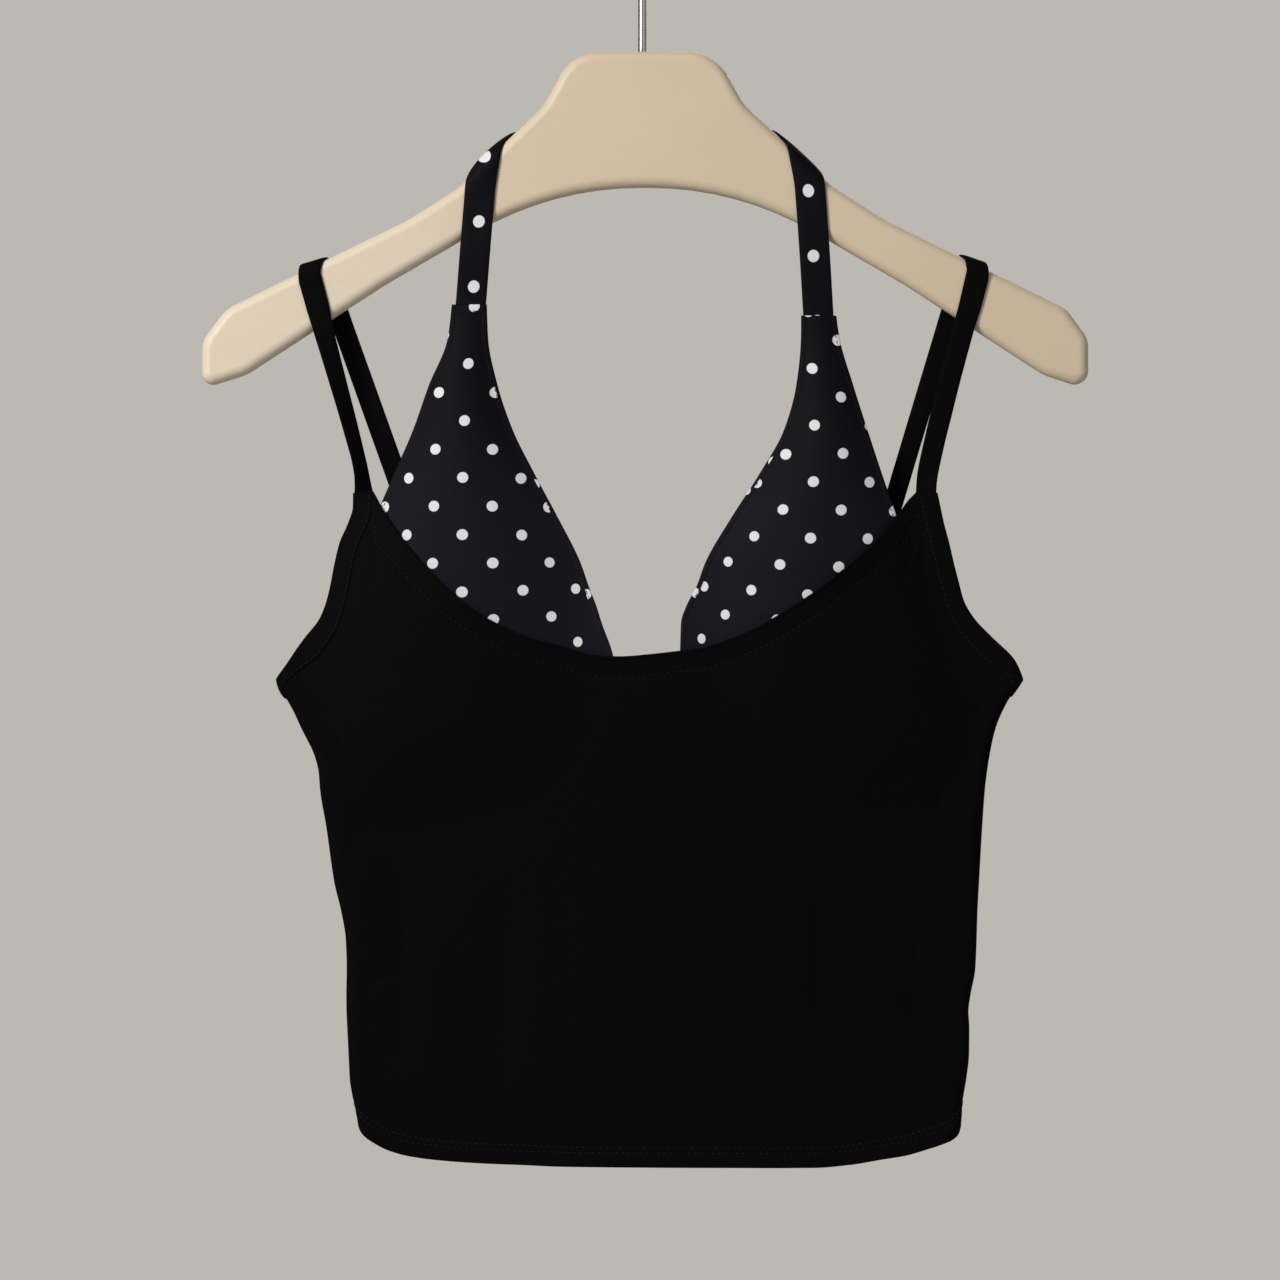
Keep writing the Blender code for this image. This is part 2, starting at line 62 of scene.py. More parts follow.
# The hanger and its hook
HOOK_RISE = 82.0
WIRE = 3.8
HOOK_RADIUS = 22.0
HOOK_START = math.radians(200)
HOOK_END = math.radians(-70)
STEM_X = -1.3
STEM_SUNK = 1.5
TIP_ROUNDING = 0.9
HANGER_THICKNESS = 12.0
HANGER_EDGE = 4.5
HANGER_EDGE_STEPS = 7

# Cloth walls, how near each piece comes to what it lies on, and the strips' widths
JERSEY = 0.9
CUP_WALL = 1.1
CUP_INSET = 2.1
TUBE_WALL = 0.35
STRAP_THICKNESS = 1.5
STRAP_REST = 0.06
BINDING_WALL = 0.45
BINDING_REST = 0.05
HALTER_STRAP_WIDTH = 13.7
BINDING_WIDTH = 8.2
BINDING_SPREAD = 1.5
BINDING_PUFF = 0.12
BINDING_LENGTH = 92.0

# The camisole's cut
SIDE_FOLD = 5.0
SIDE_SEAM_INSET = 0.02
TOP_STEEPEST = 2.4
HEM_STEEPEST = 1.7
NORMAL_STEP = 0.4
NECK_HALF = 122.6
STRAP_SEAT_DROP = 198.4
STRAP_SEAT_END = 130.7
UNDERARM_DROP = 283.5
ARMHOLE_RISE = 85.0

# The cups' lower edge, and how they push the front out
CUP_BASE_DROP = 300.0
CUP_BASE_DIP = 45.0
CUP_BLEND = 4.0
CUP_FADE = 12.0

# Turned edges: the rolled edge of a top, its facing, and the stitch rows
ROLL_WIDTH = 1.7
ROLL_RISE = 0.2
FACING_WIDTH = 9.0
FACING_RISE = 0.12
FOLD_STEP = 0.4
NECK_FLARE = 2.4
NECK_FLARE_WIDTH = 12.0
NECK_FLARE_HALF = 116.0
NECK_FLARE_FADE = 30.0
HEM_TURN = 9.5
HEM_ROWS = (6.6, 9.0)
HEM_HALF = 137.0
GROOVE_DEPTH = 0.2
GROOVE_WIDTH = 0.55
CUP_TURN = 2.6
CUP_TURN_RISE = 0.16
CUP_TOP_TURN = 4.0
CUP_TOP_RISE = 0.25
CUP_TOP_ROW = 3.1
CUP_EDGE_ROW = 1.9
RIM_LEAST = 0.14

# Each stitch that shows: its length along the seam, its width and rise, the pitch of a row, and how far a
# row lies above the cloth
STITCH_LENGTH = 2.0
STITCH_WIDTH = 0.36
STITCH_PITCH = 2.7
STITCH_LIFT = 0.02

# The rows that hold the straps' ends: their distance below the top edge, in front and behind, how far
# short of a seat's ends they stop, half the length of one behind, its points and its lift off the cloth
SEAT_ROWS = (1.4, 2.9)
BACK_SEAT_ROW = 2.6
SEAT_ROW_INSET = 1.0
BACK_SEAT_HALF = 4.0
SEAT_ROW_POINTS = 12
SEAT_STITCH_LIFT = 0.05

# The hanger's outline: the corners of each half, from the top edge round to the underside's middle
Corner = namedtuple("Corner", "x drop radius")
HANGER_UNDERSIDE = rows_of(
    Corner,
    (180.0, 145.8, 25.0),
    (117.0, 104.9, 90.0),
    (41.8, 61.2, 147.0),
)
HANGER_CORNERS = {
    LEFT: rows_of(
        Corner,
        (33.0, 0.0, 21.0),
        (45.6, 24.0, 30.0),
        (84.5, 61.6, 30.0),
        (107.0, 75.8, 60.0),
        (189.0, 116.0, 19.0),
        (200.0, 130.6, 13.0),
        (200.0, 152.0, 5.0),
        *HANGER_UNDERSIDE,
    ),
    RIGHT: rows_of(
        Corner,
        (31.2, 0.0, 21.0),
        (44.6, 23.8, 26.0),
        (84.0, 60.3, 30.0),
        (107.0, 75.2, 60.0),
        (190.0, 115.9, 16.0),
        (200.0, 129.6, 12.0),
        (200.0, 152.4, 6.0),
        *HANGER_UNDERSIDE,
    ),
}

# Half widths of the body as it is seen from the front, from the underarms to the hem
Width = namedtuple("Width", "drop left right")
BODY_WIDTHS = rows_of(
    Width,
    (283.5, 166.3, 170.40),
    (288.0, 164.9, 167.30),
    (294.0, 160.8, 163.25),
    (306.0, 155.0, 158.15),
    (319.0, 148.8, 155.35),
    (325.0, 147.3, 154.45),
    (333.0, 146.8, 153.45),
    (350.0, 144.0, 152.25),
    (375.0, 140.4, 150.85),
    (388.0, 137.3, 150.15),
    (401.0, 135.2, 149.75),
    (414.0, 134.8, 149.15),
    (426.0, 135.0, 146.95),
    (433.0, 134.9, 146.05),
    (440.0, 134.6, 146.45),
    (452.0, 134.0, 146.35),
    (464.0, 133.4, 145.05),
    (471.0, 132.3, 143.85),
    (484.0, 129.6, 142.65),
    (503.0, 127.8, 141.35),
)
# The armholes' edges, from the straps' seats to the underarms
ARMHOLE = rows_of(
    Width,
    (STRAP_SEAT_DROP, STRAP_SEAT_END, STRAP_SEAT_END),
    (205.5, 130.8, 132.2),
    (213.0, 133.0, 133.8),
    (222.0, 136.9, 136.2),
    (231.5, 139.2, 138.4),
    (240.0, 140.8, 140.6),
    (248.0, 142.7, 142.8),
    (256.0, 145.8, 147.4),
    (265.0, 152.7, 155.9),
    (275.5, 160.6, 166.6),
    (283.5, 166.3, 170.4),
)
# The hem's drop, by share of the way from the centre to the side
Hem = namedtuple("Hem", "share left right")
HEM = rows_of(
    Hem,
    (0.0, 502.6, 502.6),
    (0.3, 502.3, 502.9),
    (0.42, 501.7, 503.1),
    (0.53, 501.3, 503.1),
    (0.64, 500.6, 501.9),
    (0.74, 499.5, 499.6),
    (0.81, 498.2, 498.0),
    (0.88, 495.7, 495.1),
    (0.946, 490.9, 491.7),
    (0.975, 488.0, 489.2),
    (1.0, 484.6, 485.0),
)
# The neckline's edge, from one strap's seat to the other's
NeckPoint = namedtuple("NeckPoint", "x drop")
NECKLINE = rows_of(
    NeckPoint,
    (-NECK_HALF, STRAP_SEAT_DROP),
    (-120.2, 202.6),
    (-118.6, 205.9),
    (-109.6, 219.2),
    (-98.3, 232.7),
    (-84.4, 246.2),
    (-68.9, 256.7),
    (-51.6, 264.4),
    (-38.1, 268.2),
    (-20.2, 272.6),
    (-11.2, 272.9),
    (2.2, 271.9),
    (16.3, 270.3),
    (24.6, 269.2),
    (33.9, 266.5),
    (51.1, 259.3),
    (59.6, 254.3),
    (74.9, 244.4),
    (90.2, 232.3),
    (104.5, 219.9),
    (114.8, 207.8),
    (118.5, 202.6),
    (NECK_HALF, STRAP_SEAT_DROP),
)
# How far the middle of the front and of the back stands out, at these heights
Belly = namedtuple("Belly", "drop front back")
BELLIES = rows_of(
    Belly,
    (110.0, 8.0, 10.0),
    (197.0, 9.0, 10.0),
    (240.0, 12.0, 10.0),
    (273.0, 16.0, 10.0),
    (300.0, 17.0, 10.5),
    (400.0, 14.0, 12.0),
    (504.0, 12.0, 13.0),
)
# The back's top edge, the same on both sides
BackTop = namedtuple("BackTop", "x drop")
BACK_TOP = rows_of(
    BackTop,
    (0.0, 298.0),
    (83.0, 284.0),
    (125.0, 290.0),
    (172.5, 283.5),
)
# The cups' edges, how far these stand out, and how much further the cups' middles do
CupSection = namedtuple("CupSection", "drop left_outer left_inner right_inner right_outer rim crown")
CUP_SECTIONS = rows_of(
    CupSection,
    (114.0, 87.6, 70.9, 69.9, 86.0, 6.0, 2.0),
    (130.0, 89.9, 70.0, 69.5, 88.6, 6.8, 3.0),
    (150.0, 98.2, 65.8, 67.3, 94.7, 7.5, 5.0),
    (170.0, 105.4, 59.0, 61.8, 101.2, 8.0, 7.5),
    (190.0, 114.0, 49.2, 50.8, 107.7, 8.3, 9.5),
    (210.0, 122.5, 38.7, 38.2, 114.5, 8.5, 10.8),
    (230.0, 130.0, 29.0, 27.0, 121.5, 8.5, 11.6),
    (241.0, 133.5, 25.3, 23.1, 125.0, 8.5, 11.8),
    (250.0, 136.0, 21.9, 18.5, 128.0, 8.5, 12.0),
    (257.0, 137.7, 19.7, 16.2, 130.2, 8.5, 12.0),
    (273.0, 140.0, 14.3, 15.6, 134.0, 8.5, 12.0),
    (300.0, 141.0, 11.0, 13.0, 137.0, 8.5, 11.0),
    (330.0, 141.0, 11.0, 13.0, 137.0, 6.5, 7.0),
    (355.0, 141.0, 11.0, 13.0, 137.0, 1.0, 2.0),
)
CUP_APEX = {LEFT: 114.5, RIGHT: 119.5}

# Stand lifts a strap's outer edge off the hanger's top, and tip draws its inner edge out along the slope.
ShoulderStrap = namedtuple("ShoulderStrap", "side front_x back_x back_seat_x back_width stand tip")
SHOULDER_STRAPS = rows_of(
    ShoulderStrap,
    (LEFT, 151.0, 145.4, 78.3, 10.0, 2.0, 2.4),
    (RIGHT, 149.7, 144.0, 87.3, 9.2, 1.5, 2.5),
)
# How each strap hangs in front, from its seat (0) to the hanger's edge (1): how far it bows inwards, and
# how wide it is seen. It is turned about its own length where it is seen narrower than it is.
StrapHang = namedtuple("StrapHang", "up left_bow right_bow left_width right_width")
STRAP_HANG = rows_of(
    StrapHang,
    (0.0, 0.2, 0.0, 9.4, 9.2),
    (0.05, 0.8, 1.0, 7.4, 9.1),
    (0.11, 1.5, 1.75, 6.3, 9.5),
    (0.18, 1.8, 2.0, 6.15, 9.7),
    (0.24, 1.75, 2.05, 6.4, 9.7),
    (0.37, 1.55, 1.95, 7.0, 9.9),
    (0.49, 1.2, 1.75, 7.6, 9.9),
    (0.62, 0.8, 1.42, 8.45, 10.0),
    (0.68, 0.6, 1.15, 8.8, 10.0),
    (0.75, 0.35, 0.9, 9.3, 10.1),
    (0.81, 0.3, 0.5, 10.0, 10.3),
    (0.87, 0.3, 0.15, 10.7, 10.5),
    (1.0, 0.0, 0.0, 10.8, 10.8),
)
STRAP_FLAT_WIDTH = 9.4
# From here up a strap lies flat on the hanger's face, and this near its edge it runs square to it
FLAT_FROM = {"front": 0.65, "behind": 0.75}
SQUARE_TO_EDGE = 0.15
# How far its ends are tucked in below an edge, and its outer corner is drawn in on top of the hanger
STRAP_TUCK = 3.0
STRAP_CORNER = 1.6

# The halter strap: how each hanging end leans and bows, how far on top of the hanger its inner edge is
# drawn out and its middle stands off, how far its end is tucked in behind the cup's top and sinks in to
# reach it, and the part of its length, behind the neck, over which its two halves become one
HALTER_CROSSING_X = 73.9
HALTER_LEAN = {LEFT: -2.9, RIGHT: -0.6}
HALTER_BOW = {LEFT: 0.0, RIGHT: 0.15}
HALTER_TIP = {LEFT: 3.9, RIGHT: 4.0}
HALTER_STAND = {LEFT: 1.5, RIGHT: 0.3}
HALTER_TUCK = 3.5
HALTER_SINK = 2.55
HALTER_SINKS_FROM = 0.42
HALTER_SINKS_OVER = 0.53
HALTER_JOINED = 0.3

# Creases, as soft troughs in the cloth: where the middle of each starts and ends, how far that line bows
# sideways, how deep it is (a ridge where that is below zero) and its half width. Each grows to its full
# depth over the first part of its length, and dies away over the last.
CREASE_OPENS = 0.35
CREASE_CLOSES = 0.5
Crease = namedtuple("Crease", "start_x start_drop end_x end_drop bow depth width")
FRONT_CREASES = rows_of(
    Crease,
    (-124.3, 210.0, -123.0, 246.0, 1.6, 0.9, 1.3),
    (-121.0, 206.0, -104.0, 240.0, -2.0, 0.35, 2.6),
    (-128.0, 214.0, -128.0, 262.0, 0.0, -0.45, 2.0),
    (127.0, 207.0, 126.0, 246.0, -1.0, 0.5, 1.7),
    (124.5, 206.0, 113.0, 242.0, 1.5, 0.45, 2.3),
    (-159.0, 291.0, -120.0, 325.0, 4.0, 0.8, 3.2),
    (-155.0, 301.0, -124.0, 354.0, 5.0, 1.1, 3.8),
    (-149.0, 312.0, -134.0, 360.0, 3.0, -1.2, 5.0),
    (161.0, 291.0, 126.0, 322.0, -4.0, 0.8, 3.2),
    (156.0, 303.0, 128.0, 358.0, -5.0, 1.1, 4.2),
    (151.0, 322.0, 140.0, 392.0, -3.0, -1.1, 5.4),
    (-118.0, 352.0, -108.0, 470.0, 5.0, 1.7, 8.0),
    (-92.0, 372.0, -96.0, 497.0, -5.0, -1.2, 10.0),
    (-66.0, 362.0, -70.0, 490.0, 4.0, 1.5, 9.0),
    (-24.0, 352.0, -30.0, 498.0, 6.0, -1.0, 13.0),
    (18.0, 362.0, 12.0, 470.0, -4.0, 1.0, 11.0),
    (52.0, 358.0, 57.0, 499.0, 5.0, -1.1, 10.0),
    (82.0, 352.0, 90.0, 480.0, -4.0, 1.6, 8.0),
    (118.0, 366.0, 121.0, 492.0, 3.0, 1.2, 6.5),
    (-131.0, 424.0, -104.0, 416.0, 2.0, 0.8, 3.2),
    (-128.0, 447.0, -98.0, 452.0, -2.0, 0.6, 3.4),
    (143.0, 432.0, 112.0, 426.0, 2.0, 0.8, 3.6),
)
BACK_CREASES = rows_of(
    Crease,
    (-82.0, 291.0, -88.0, 345.0, 2.0, 0.9, 3.0),
    (-78.0, 291.0, -66.0, 340.0, -2.0, 0.7, 3.2),
    (87.0, 291.0, 93.0, 348.0, -2.0, 0.9, 3.0),
    (83.0, 291.0, 71.0, 338.0, 2.0, 0.7, 3.4),
    (-158.0, 293.0, -116.0, 336.0, 5.0, 1.2, 4.2),
    (-152.0, 312.0, -124.0, 372.0, 5.0, 1.0, 5.0),
    (160.0, 293.0, 119.0, 334.0, -5.0, 1.2, 4.2),
    (154.0, 314.0, 128.0, 378.0, -5.0, 1.0, 5.0),
    (-104.0, 356.0, -98.0, 490.0, 5.0, 1.6, 8.0),
    (-70.0, 346.0, -76.0, 500.0, -4.0, -1.2, 11.0),
    (-38.0, 330.0, -34.0, 470.0, 6.0, 1.7, 10.0),
    (2.0, 322.0, -4.0, 502.0, -5.0, -1.2, 14.0),
    (36.0, 336.0, 44.0, 490.0, 5.0, 1.6, 9.0),
    (74.0, 352.0, 70.0, 502.0, -4.0, -1.1, 10.0),
    (104.0, 350.0, 112.0, 480.0, 4.0, 1.5, 8.0),
    (-128.0, 436.0, -96.0, 428.0, 2.0, 0.8, 3.6),
    (140.0, 444.0, 104.0, 436.0, 2.0, 0.8, 3.8),
)

# The polka dots are a staggered repeat. Each cup's print hangs from one dot in its upper middle.
# The cloth turns away on both sides of the line x, which brings the dots closer together there. Lean and
# low lean bend that line above and below the middle, and edge shift is for the turned inner edge.
Print = namedtuple(
    "Print", "x first_dot_x first_dot_drop pitch_down lean low_lean spread rise_from edge_shift"
)
CUP_PRINTS = {
    LEFT: Print(-75.4, -6.5, 140.9, 12.88, 2.6, 0.0, 0.00085, 220.0, (0.52, 0.78)),
    RIGHT: Print(79.0, -2.9, 143.1, 12.8, -1.7, -3.5, 0.0, 193.0, (0.40, -0.27)),
}
DOT_PITCH_ACROSS = 13.7
DOT_PITCH_STRAP = 14.6
DOT_RADIUS = 0.189
TURN_AWAY = 50.0
INNER_RISE = 0.0018
PRINT_MIDDLE_DROP = 202.0
LEAN_OVER = 62.0
LOW_LEAN_DROP = 178.0
LOW_LEAN_OVER = 72.0
EDGE_PRINT_DROP = 150.0
EDGE_PRINT_REACH = 75.0

# The halter strap's dots: their place across it, the first one's distance from each end, and how far they
# are drawn on by the turn over the hanger. Behind the neck they are evened out, to meet in the middle.
STRAP_DOT_INSET = 0.68
STRAP_FIRST_DOT = {LEFT: 11.5, RIGHT: 30.0}
STRAP_DOT_DRAW = {LEFT: 1.8, RIGHT: 0.0}
DRAWN_FROM = 48.0
DRAWN_OVER = 20.0
EVENED_FROM = 68.0
EVENED_OVER = 60.0


def smooth_through(table, column, at):
    """A column's values on a smooth curve through the table's rows, which overshoots none of them."""
    knots = np.array([row[0] for row in table], float)
    values = np.array([getattr(row, column) for row in table], float)
    slopes = np.diff(values) / np.diff(knots)
    before = np.concatenate((slopes[:1], slopes))
    after = np.concatenate((slopes, slopes[-1:]))
    same_way = before * after > 0
    total = np.where(same_way, before + after, 1.0)
    tangents = np.where(same_way, 2 * before * after / total, 0.0)
    at = np.clip(at, knots[0], knots[-1])
    start = np.clip(np.searchsorted(knots, at, side="right") - 1, 0, len(knots) - 2)
    span = knots[start + 1] - knots[start]
    t = (at - knots[start]) / span
    return (
        values[start] * (1 + 2 * t) * (1 - t) ** 2
        + values[start + 1] * t * t * (3 - 2 * t)
        + tangents[start] * span * t * (1 - t) ** 2
        - tangents[start + 1] * span * t * t * (1 - t)
    )


def sided(table, ending, side, at):
    """The left or the right column of a table, by the side's sign."""
    left = smooth_through(table, "left" + ending, at)
    right = smooth_through(table, "right" + ending, at)
    return np.where(np.asarray(side) < 0, left, right)


def ease(t):
    t = np.clip(t, 0.0, 1.0)
    return t * t * (3 - 2 * t)


def mix(start, end, t):
    return start + (end - start) * t


def place_at(x, y, drop):
    """Points in the row frame, in millimetres."""
    x, y, drop = np.broadcast_arrays(x, y, drop)
    return np.stack((x, y, -(HOOK_RISE + drop)), axis=-1)


def side_name(side):
    return "left" if side < 0 else "right"


# The camisole's surface: a flattened tube with a soft fold at each side


def flat_half(side, drop):
    return sided(BODY_WIDTHS, "", side, drop) - SIDE_FOLD


def half_girth(side, drop):
    return flat_half(side, drop) + SIDE_FOLD * math.pi / 2 - SIDE_SEAM_INSET


def girth_of(x, drop):
    """Distance over the cloth, from the centre, of a point seen at x."""
    side = np.where(x < 0, LEFT, RIGHT)
    flat = flat_half(side, drop)
    beyond = np.clip((np.abs(x) - flat) / SIDE_FOLD, 0.0, 1.0)
    folded = np.minimum(flat + SIDE_FOLD * np.arcsin(beyond), half_girth(side, drop))
    return np.where(beyond > 0, side * folded, x)


def cup_depth(x, drop):
    side = np.where(x < 0, LEFT, RIGHT)
    inner = sided(CUP_SECTIONS, "_inner", side, drop)
    outer = sided(CUP_SECTIONS, "_outer", side, drop)
    across = (np.abs(x) - (inner + outer) / 2) / ((outer - inner) / 2)
    rim = smooth_through(CUP_SECTIONS, "rim", drop)
    crown = smooth_through(CUP_SECTIONS, "crown", drop)
    return rim + crown * (1 - across * across)


def body_surface(girth, drop, facing, belly_column, over_cups):
    """A face of the flattened tube. It faces -Y in front, where facing is -1, and +Y behind."""
    side = np.where(girth < 0, LEFT, RIGHT)
    flat = flat_half(side, drop)
    beyond = np.abs(girth) - flat
    angle = np.clip(beyond, 0.0, None) / SIDE_FOLD
    belly = smooth_through(BELLIES, belly_column, drop)
    across = np.clip(girth / flat, -1.0, 1.0)
    depth = SIDE_FOLD + (belly - SIDE_FOLD) * (1 - across**2) ** 2
    if over_cups:
        proud = cup_depth(girth, drop) - depth
        gentle = np.clip(proud + CUP_BLEND, 0.0, None) ** 2 / (4 * CUP_BLEND)
        push = np.where(proud > CUP_BLEND, proud, gentle)
        depth = depth + push * ease(-beyond / CUP_FADE)
    x = np.where(beyond > 0, side * (flat + SIDE_FOLD * np.sin(angle)), girth)
    depth = np.where(beyond > 0, SIDE_FOLD * np.cos(angle), depth)
    return place_at(x, facing * depth, drop)


def front_surface(girth, drop):
    return body_surface(girth, drop, -1, "front", True)


def back_surface(girth, drop):
    return body_surface(girth, drop, 1, "back", False)


def raised(surface, girth, drop, height):
    """The points this far outside a surface, along its normal."""
    step = NORMAL_STEP
    across = surface(girth + step, drop) - surface(girth - step, drop)
    down = surface(girth, drop + step) - surface(girth, drop - step)
    normal = np.cross(across, down)
    normal /= np.linalg.norm(normal, axis=-1, keepdims=True)
    outward = -1 if surface is front_surface else 1
    return surface(girth, drop) + normal * (outward * np.asarray(height))[..., None]


def crease_relief(creases, girth, drop):
    """How far the creases lift the cloth (below zero in a trough)."""
    relief = np.zeros(np.broadcast(girth, drop).shape)
    for crease in creases:
        start = np.array((crease.start_x, crease.start_drop))
        run = np.array((crease.end_x, crease.end_drop)) - start
        length = np.hypot(*run)
        away_x, away_drop = girth - start[0], drop - start[1]
        t = (away_x * run[0] + away_drop * run[1]) / length**2
        sideways = (away_x * run[1] - away_drop * run[0]) / length
        inside = np.clip(t, 0.0, 1.0)
        sideways = sideways - crease.bow * 4 * inside * (1 - inside)
        fade = ease(inside / CREASE_OPENS) * ease((1 - inside) / CREASE_CLOSES)
        relief -= crease.depth * fade * np.exp(-((sideways / crease.width) ** 2))
    return relief


def front_cloth(girth, drop, height):
    return raised(front_surface, girth, drop, height + crease_relief(FRONT_CREASES, girth, drop))


def back_cloth(girth, drop, height):
    return raised(back_surface, girth, drop, height + crease_relief(BACK_CREASES, girth, drop))


# Outlines, over the cloth


def neckline_drop(x):
    """The scoop, which hangs a little lower on the left than on the right."""
    return smooth_through(NECKLINE, "drop", x)


def armhole_point(side, part):
    drop = mix(STRAP_SEAT_DROP, UNDERARM_DROP, part)
    x = sided(ARMHOLE, "", side, drop)
    return np.abs(girth_of(side * x, drop)), drop


def hem_drop(side, share):
    return sided(HEM, "", side, share)


def hem_stretch(side, share):
    """How much longer a distance square to the hem becomes when it is measured straight up."""
    probe = 0.01
    slope = (hem_drop(side, share + probe) - hem_drop(side, share - probe)) / (2 * probe * HEM_HALF)
    return np.clip(np.sqrt(1 + slope**2), 1.0, HEM_STEEPEST)


def even(count, start=0.0, end=1.0):
    return np.linspace(start, end, count + 1)


def rim(distance, radius):
    """A wall's share of its full thickness this far from a rounded edge."""
    inward = 1 - np.clip(distance / radius, 0.0, 1.0)
    return np.clip(np.sqrt(1 - inward**2), RIM_LEAST, 1.0)


def groove(distance, at):
    return -GROOVE_DEPTH * np.exp(-(((distance - at) / GROOVE_WIDTH) ** 2))


def slopes_along(edge):
    """How much longer a distance square to an edge becomes when it is measured straight down."""
    girth, drop = edge[:, 0], edge[:, 1]
    slope = np.gradient(drop, girth)
    return np.clip(np.sqrt(1 + slope**2), 1.0, TOP_STEEPEST)


# Making meshes


def add_piece(name, mesh, *finishes):
    made = bpy.data.objects.new(name, mesh)
    for finish in finishes:
        mesh.materials.append(finish)
    bpy.context.scene.collection.objects.link(made)
    return made


def cloth(name, columns, rows, place, pattern, *finishes, tube=False):
    """A wall of cloth: a grid with a thickness, whose points lie where place(column, row, depth) says.

    Depth is 0 on the outer face and 1 on the inner one. Pattern(column, row) gives the place in the print
    or knit. Where there are two finishes, the inner face takes the second. A tube's columns go once round
    it, as parts of a turn, and it is joined where they meet.
    """
    bm = bmesh.new()
    around = len(columns) if tube else len(columns) - 1
    bmesh.ops.create_grid(bm, x_segments=around, y_segments=len(rows) - 1, size=1.0)
    if tube:
        for vert in bm.verts:
            turn = (vert.co.x + 1) * math.pi
            vert.co = (2 * math.cos(turn), 2 * math.sin(turn), vert.co.y)
        bmesh.ops.remove_doubles(bm, verts=bm.verts[:], dist=0.0001)
        bmesh.ops.recalc_face_normals(bm, faces=bm.faces[:])
    bmesh.ops.solidify(bm, geom=bm.faces[:], thickness=0.5)
    mesh = bpy.data.meshes.new(name)
    bm.to_mesh(mesh)
    bm.free()
    flat = np.empty(len(mesh.vertices) * 3)
    mesh.vertices.foreach_get("co", flat)
    flat = flat.reshape(-1, 3)
    if tube:
        turn = np.arctan2(flat[:, 1], flat[:, 0]) / (2 * math.pi) % 1.0
        column_index = np.rint(turn * around).astype(int) % around
        level = flat[:, 2]
        away = np.hypot(flat[:, 0], flat[:, 1])
        depth = (away < (away.max() + away.min()) / 2).astype(float)
    else:
        column_index = np.rint((flat[:, 0] + 1) / 2 * around).astype(int)
        level = flat[:, 1]
        depth = (np.abs(flat[:, 2]) > 0.25).astype(float)
    column = columns[column_index]
    row = rows[np.rint((level + 1) / 2 * (len(rows) - 1)).astype(int)]
    mesh.vertices.foreach_set("co", (place(column, row, depth) * MM).ravel())

    corners = np.empty(len(mesh.loops), int)
    mesh.loops.foreach_get("vertex_index", corners)
    corner_column = column[corners]
    if tube:
        by_face = corner_column.reshape(-1, 4)
        across_join = by_face.max(axis=1, keepdims=True) - by_face > 0.5
        corner_column = (by_face + across_join).ravel()
    layer = mesh.uv_layers.new(name="cloth")
    layer.data.foreach_set("uv", pattern(corner_column, row[corners]).ravel())
    if len(finishes) > 1:
        inner = depth[corners].reshape(-1, 4).min(axis=1) > 0.5
        mesh.polygons.foreach_set("material_index", inner.astype(int))
    mesh.polygons.foreach_set("use_smooth", np.ones(len(mesh.polygons), bool))
    mesh.update()
    if signed_volume(mesh) < 0:
        mesh.flip_normals()
    return add_piece(name, mesh, *finishes)


def signed_volume(mesh):
    bm = bmesh.new()
    bm.from_mesh(mesh)
    volume = bm.calc_volume(signed=True)
    bm.free()
    return volume


def stitch_row(bm, path, surface_normal):
    """Short raised stitches along a path of points over a surface, both in millimetres."""
    steps = np.linalg.norm(np.diff(path, axis=0), axis=1)
    gone = np.concatenate(([0.0], np.cumsum(steps)))
    count = max(1, int(gone[-1] / STITCH_PITCH))
    for middle in (np.arange(count) + 0.5) * gone[-1] / count:
        ends = [
            [np.interp(middle + reach, gone, path[:, axis]) for axis in range(3)]
            for reach in (-STITCH_LENGTH / 2, STITCH_LENGTH / 2)
        ]
        normal = [np.interp(middle, gone, surface_normal[:, axis]) for axis in range(3)]
        along = (Vector(ends[1]) - Vector(ends[0])).normalized()
        across = Vector(normal).cross(along).normalized()
        turned = Matrix((along, across, along.cross(across))).transposed().to_4x4()
        size = Matrix.Diagonal((STITCH_LENGTH / 2, STITCH_WIDTH / 2, STITCH_WIDTH / 2, 1.0))
        here = Matrix.Translation((Vector(ends[0]) + Vector(ends[1])) / 2)
        bmesh.ops.create_uvsphere(
            bm, u_segments=6, v_segments=5, radius=1.0, matrix=Matrix.Scale(MM, 4) @ here @ turned @ size
        )


def stitches(name, rows_of_points, finish):
    """All the stitches of one seam. Each row is its points, and points a little further outside."""
    bm = bmesh.new()
    for path, outside in rows_of_points:
        stitch_row(bm, path, outside - path)
    for face in bm.faces:
        face.smooth = True
    mesh = bpy.data.meshes.new(name)
    bm.to_mesh(mesh)
    bm.free()
    return add_piece(name, mesh, finish)


def seam(cloth_place, girth, drop, height):
    """A stitch row's points on a cloth, and points just outside them."""
    return cloth_place(girth, drop, height), cloth_place(girth, drop, height + 1.0)


def sewn(place, column, row):
    """The same for a row of stitches on a piece's own outer face."""
    outer = np.zeros(len(row))
    return place(column, row, outer), place(column, row, outer - 1.0)


# Materials


def feed(tree, socket, value):
    """Sets an input to a number, a vector or a colour, or links another node's output to it."""
    if isinstance(value, bpy.types.NodeSocket):
        tree.links.new(value, socket)
    elif socket.type == "RGBA":
        socket.default_value = (*value, 1.0)
    else:
        socket.default_value = value


def add_node(tree, kind, inputs=None, **settings):
    made = tree.nodes.new(kind)
    for name, value in settings.items():
        setattr(made, name, value)
    for name, value in (inputs or {}).items():
        feed(tree, made.inputs[name], value)
    return made


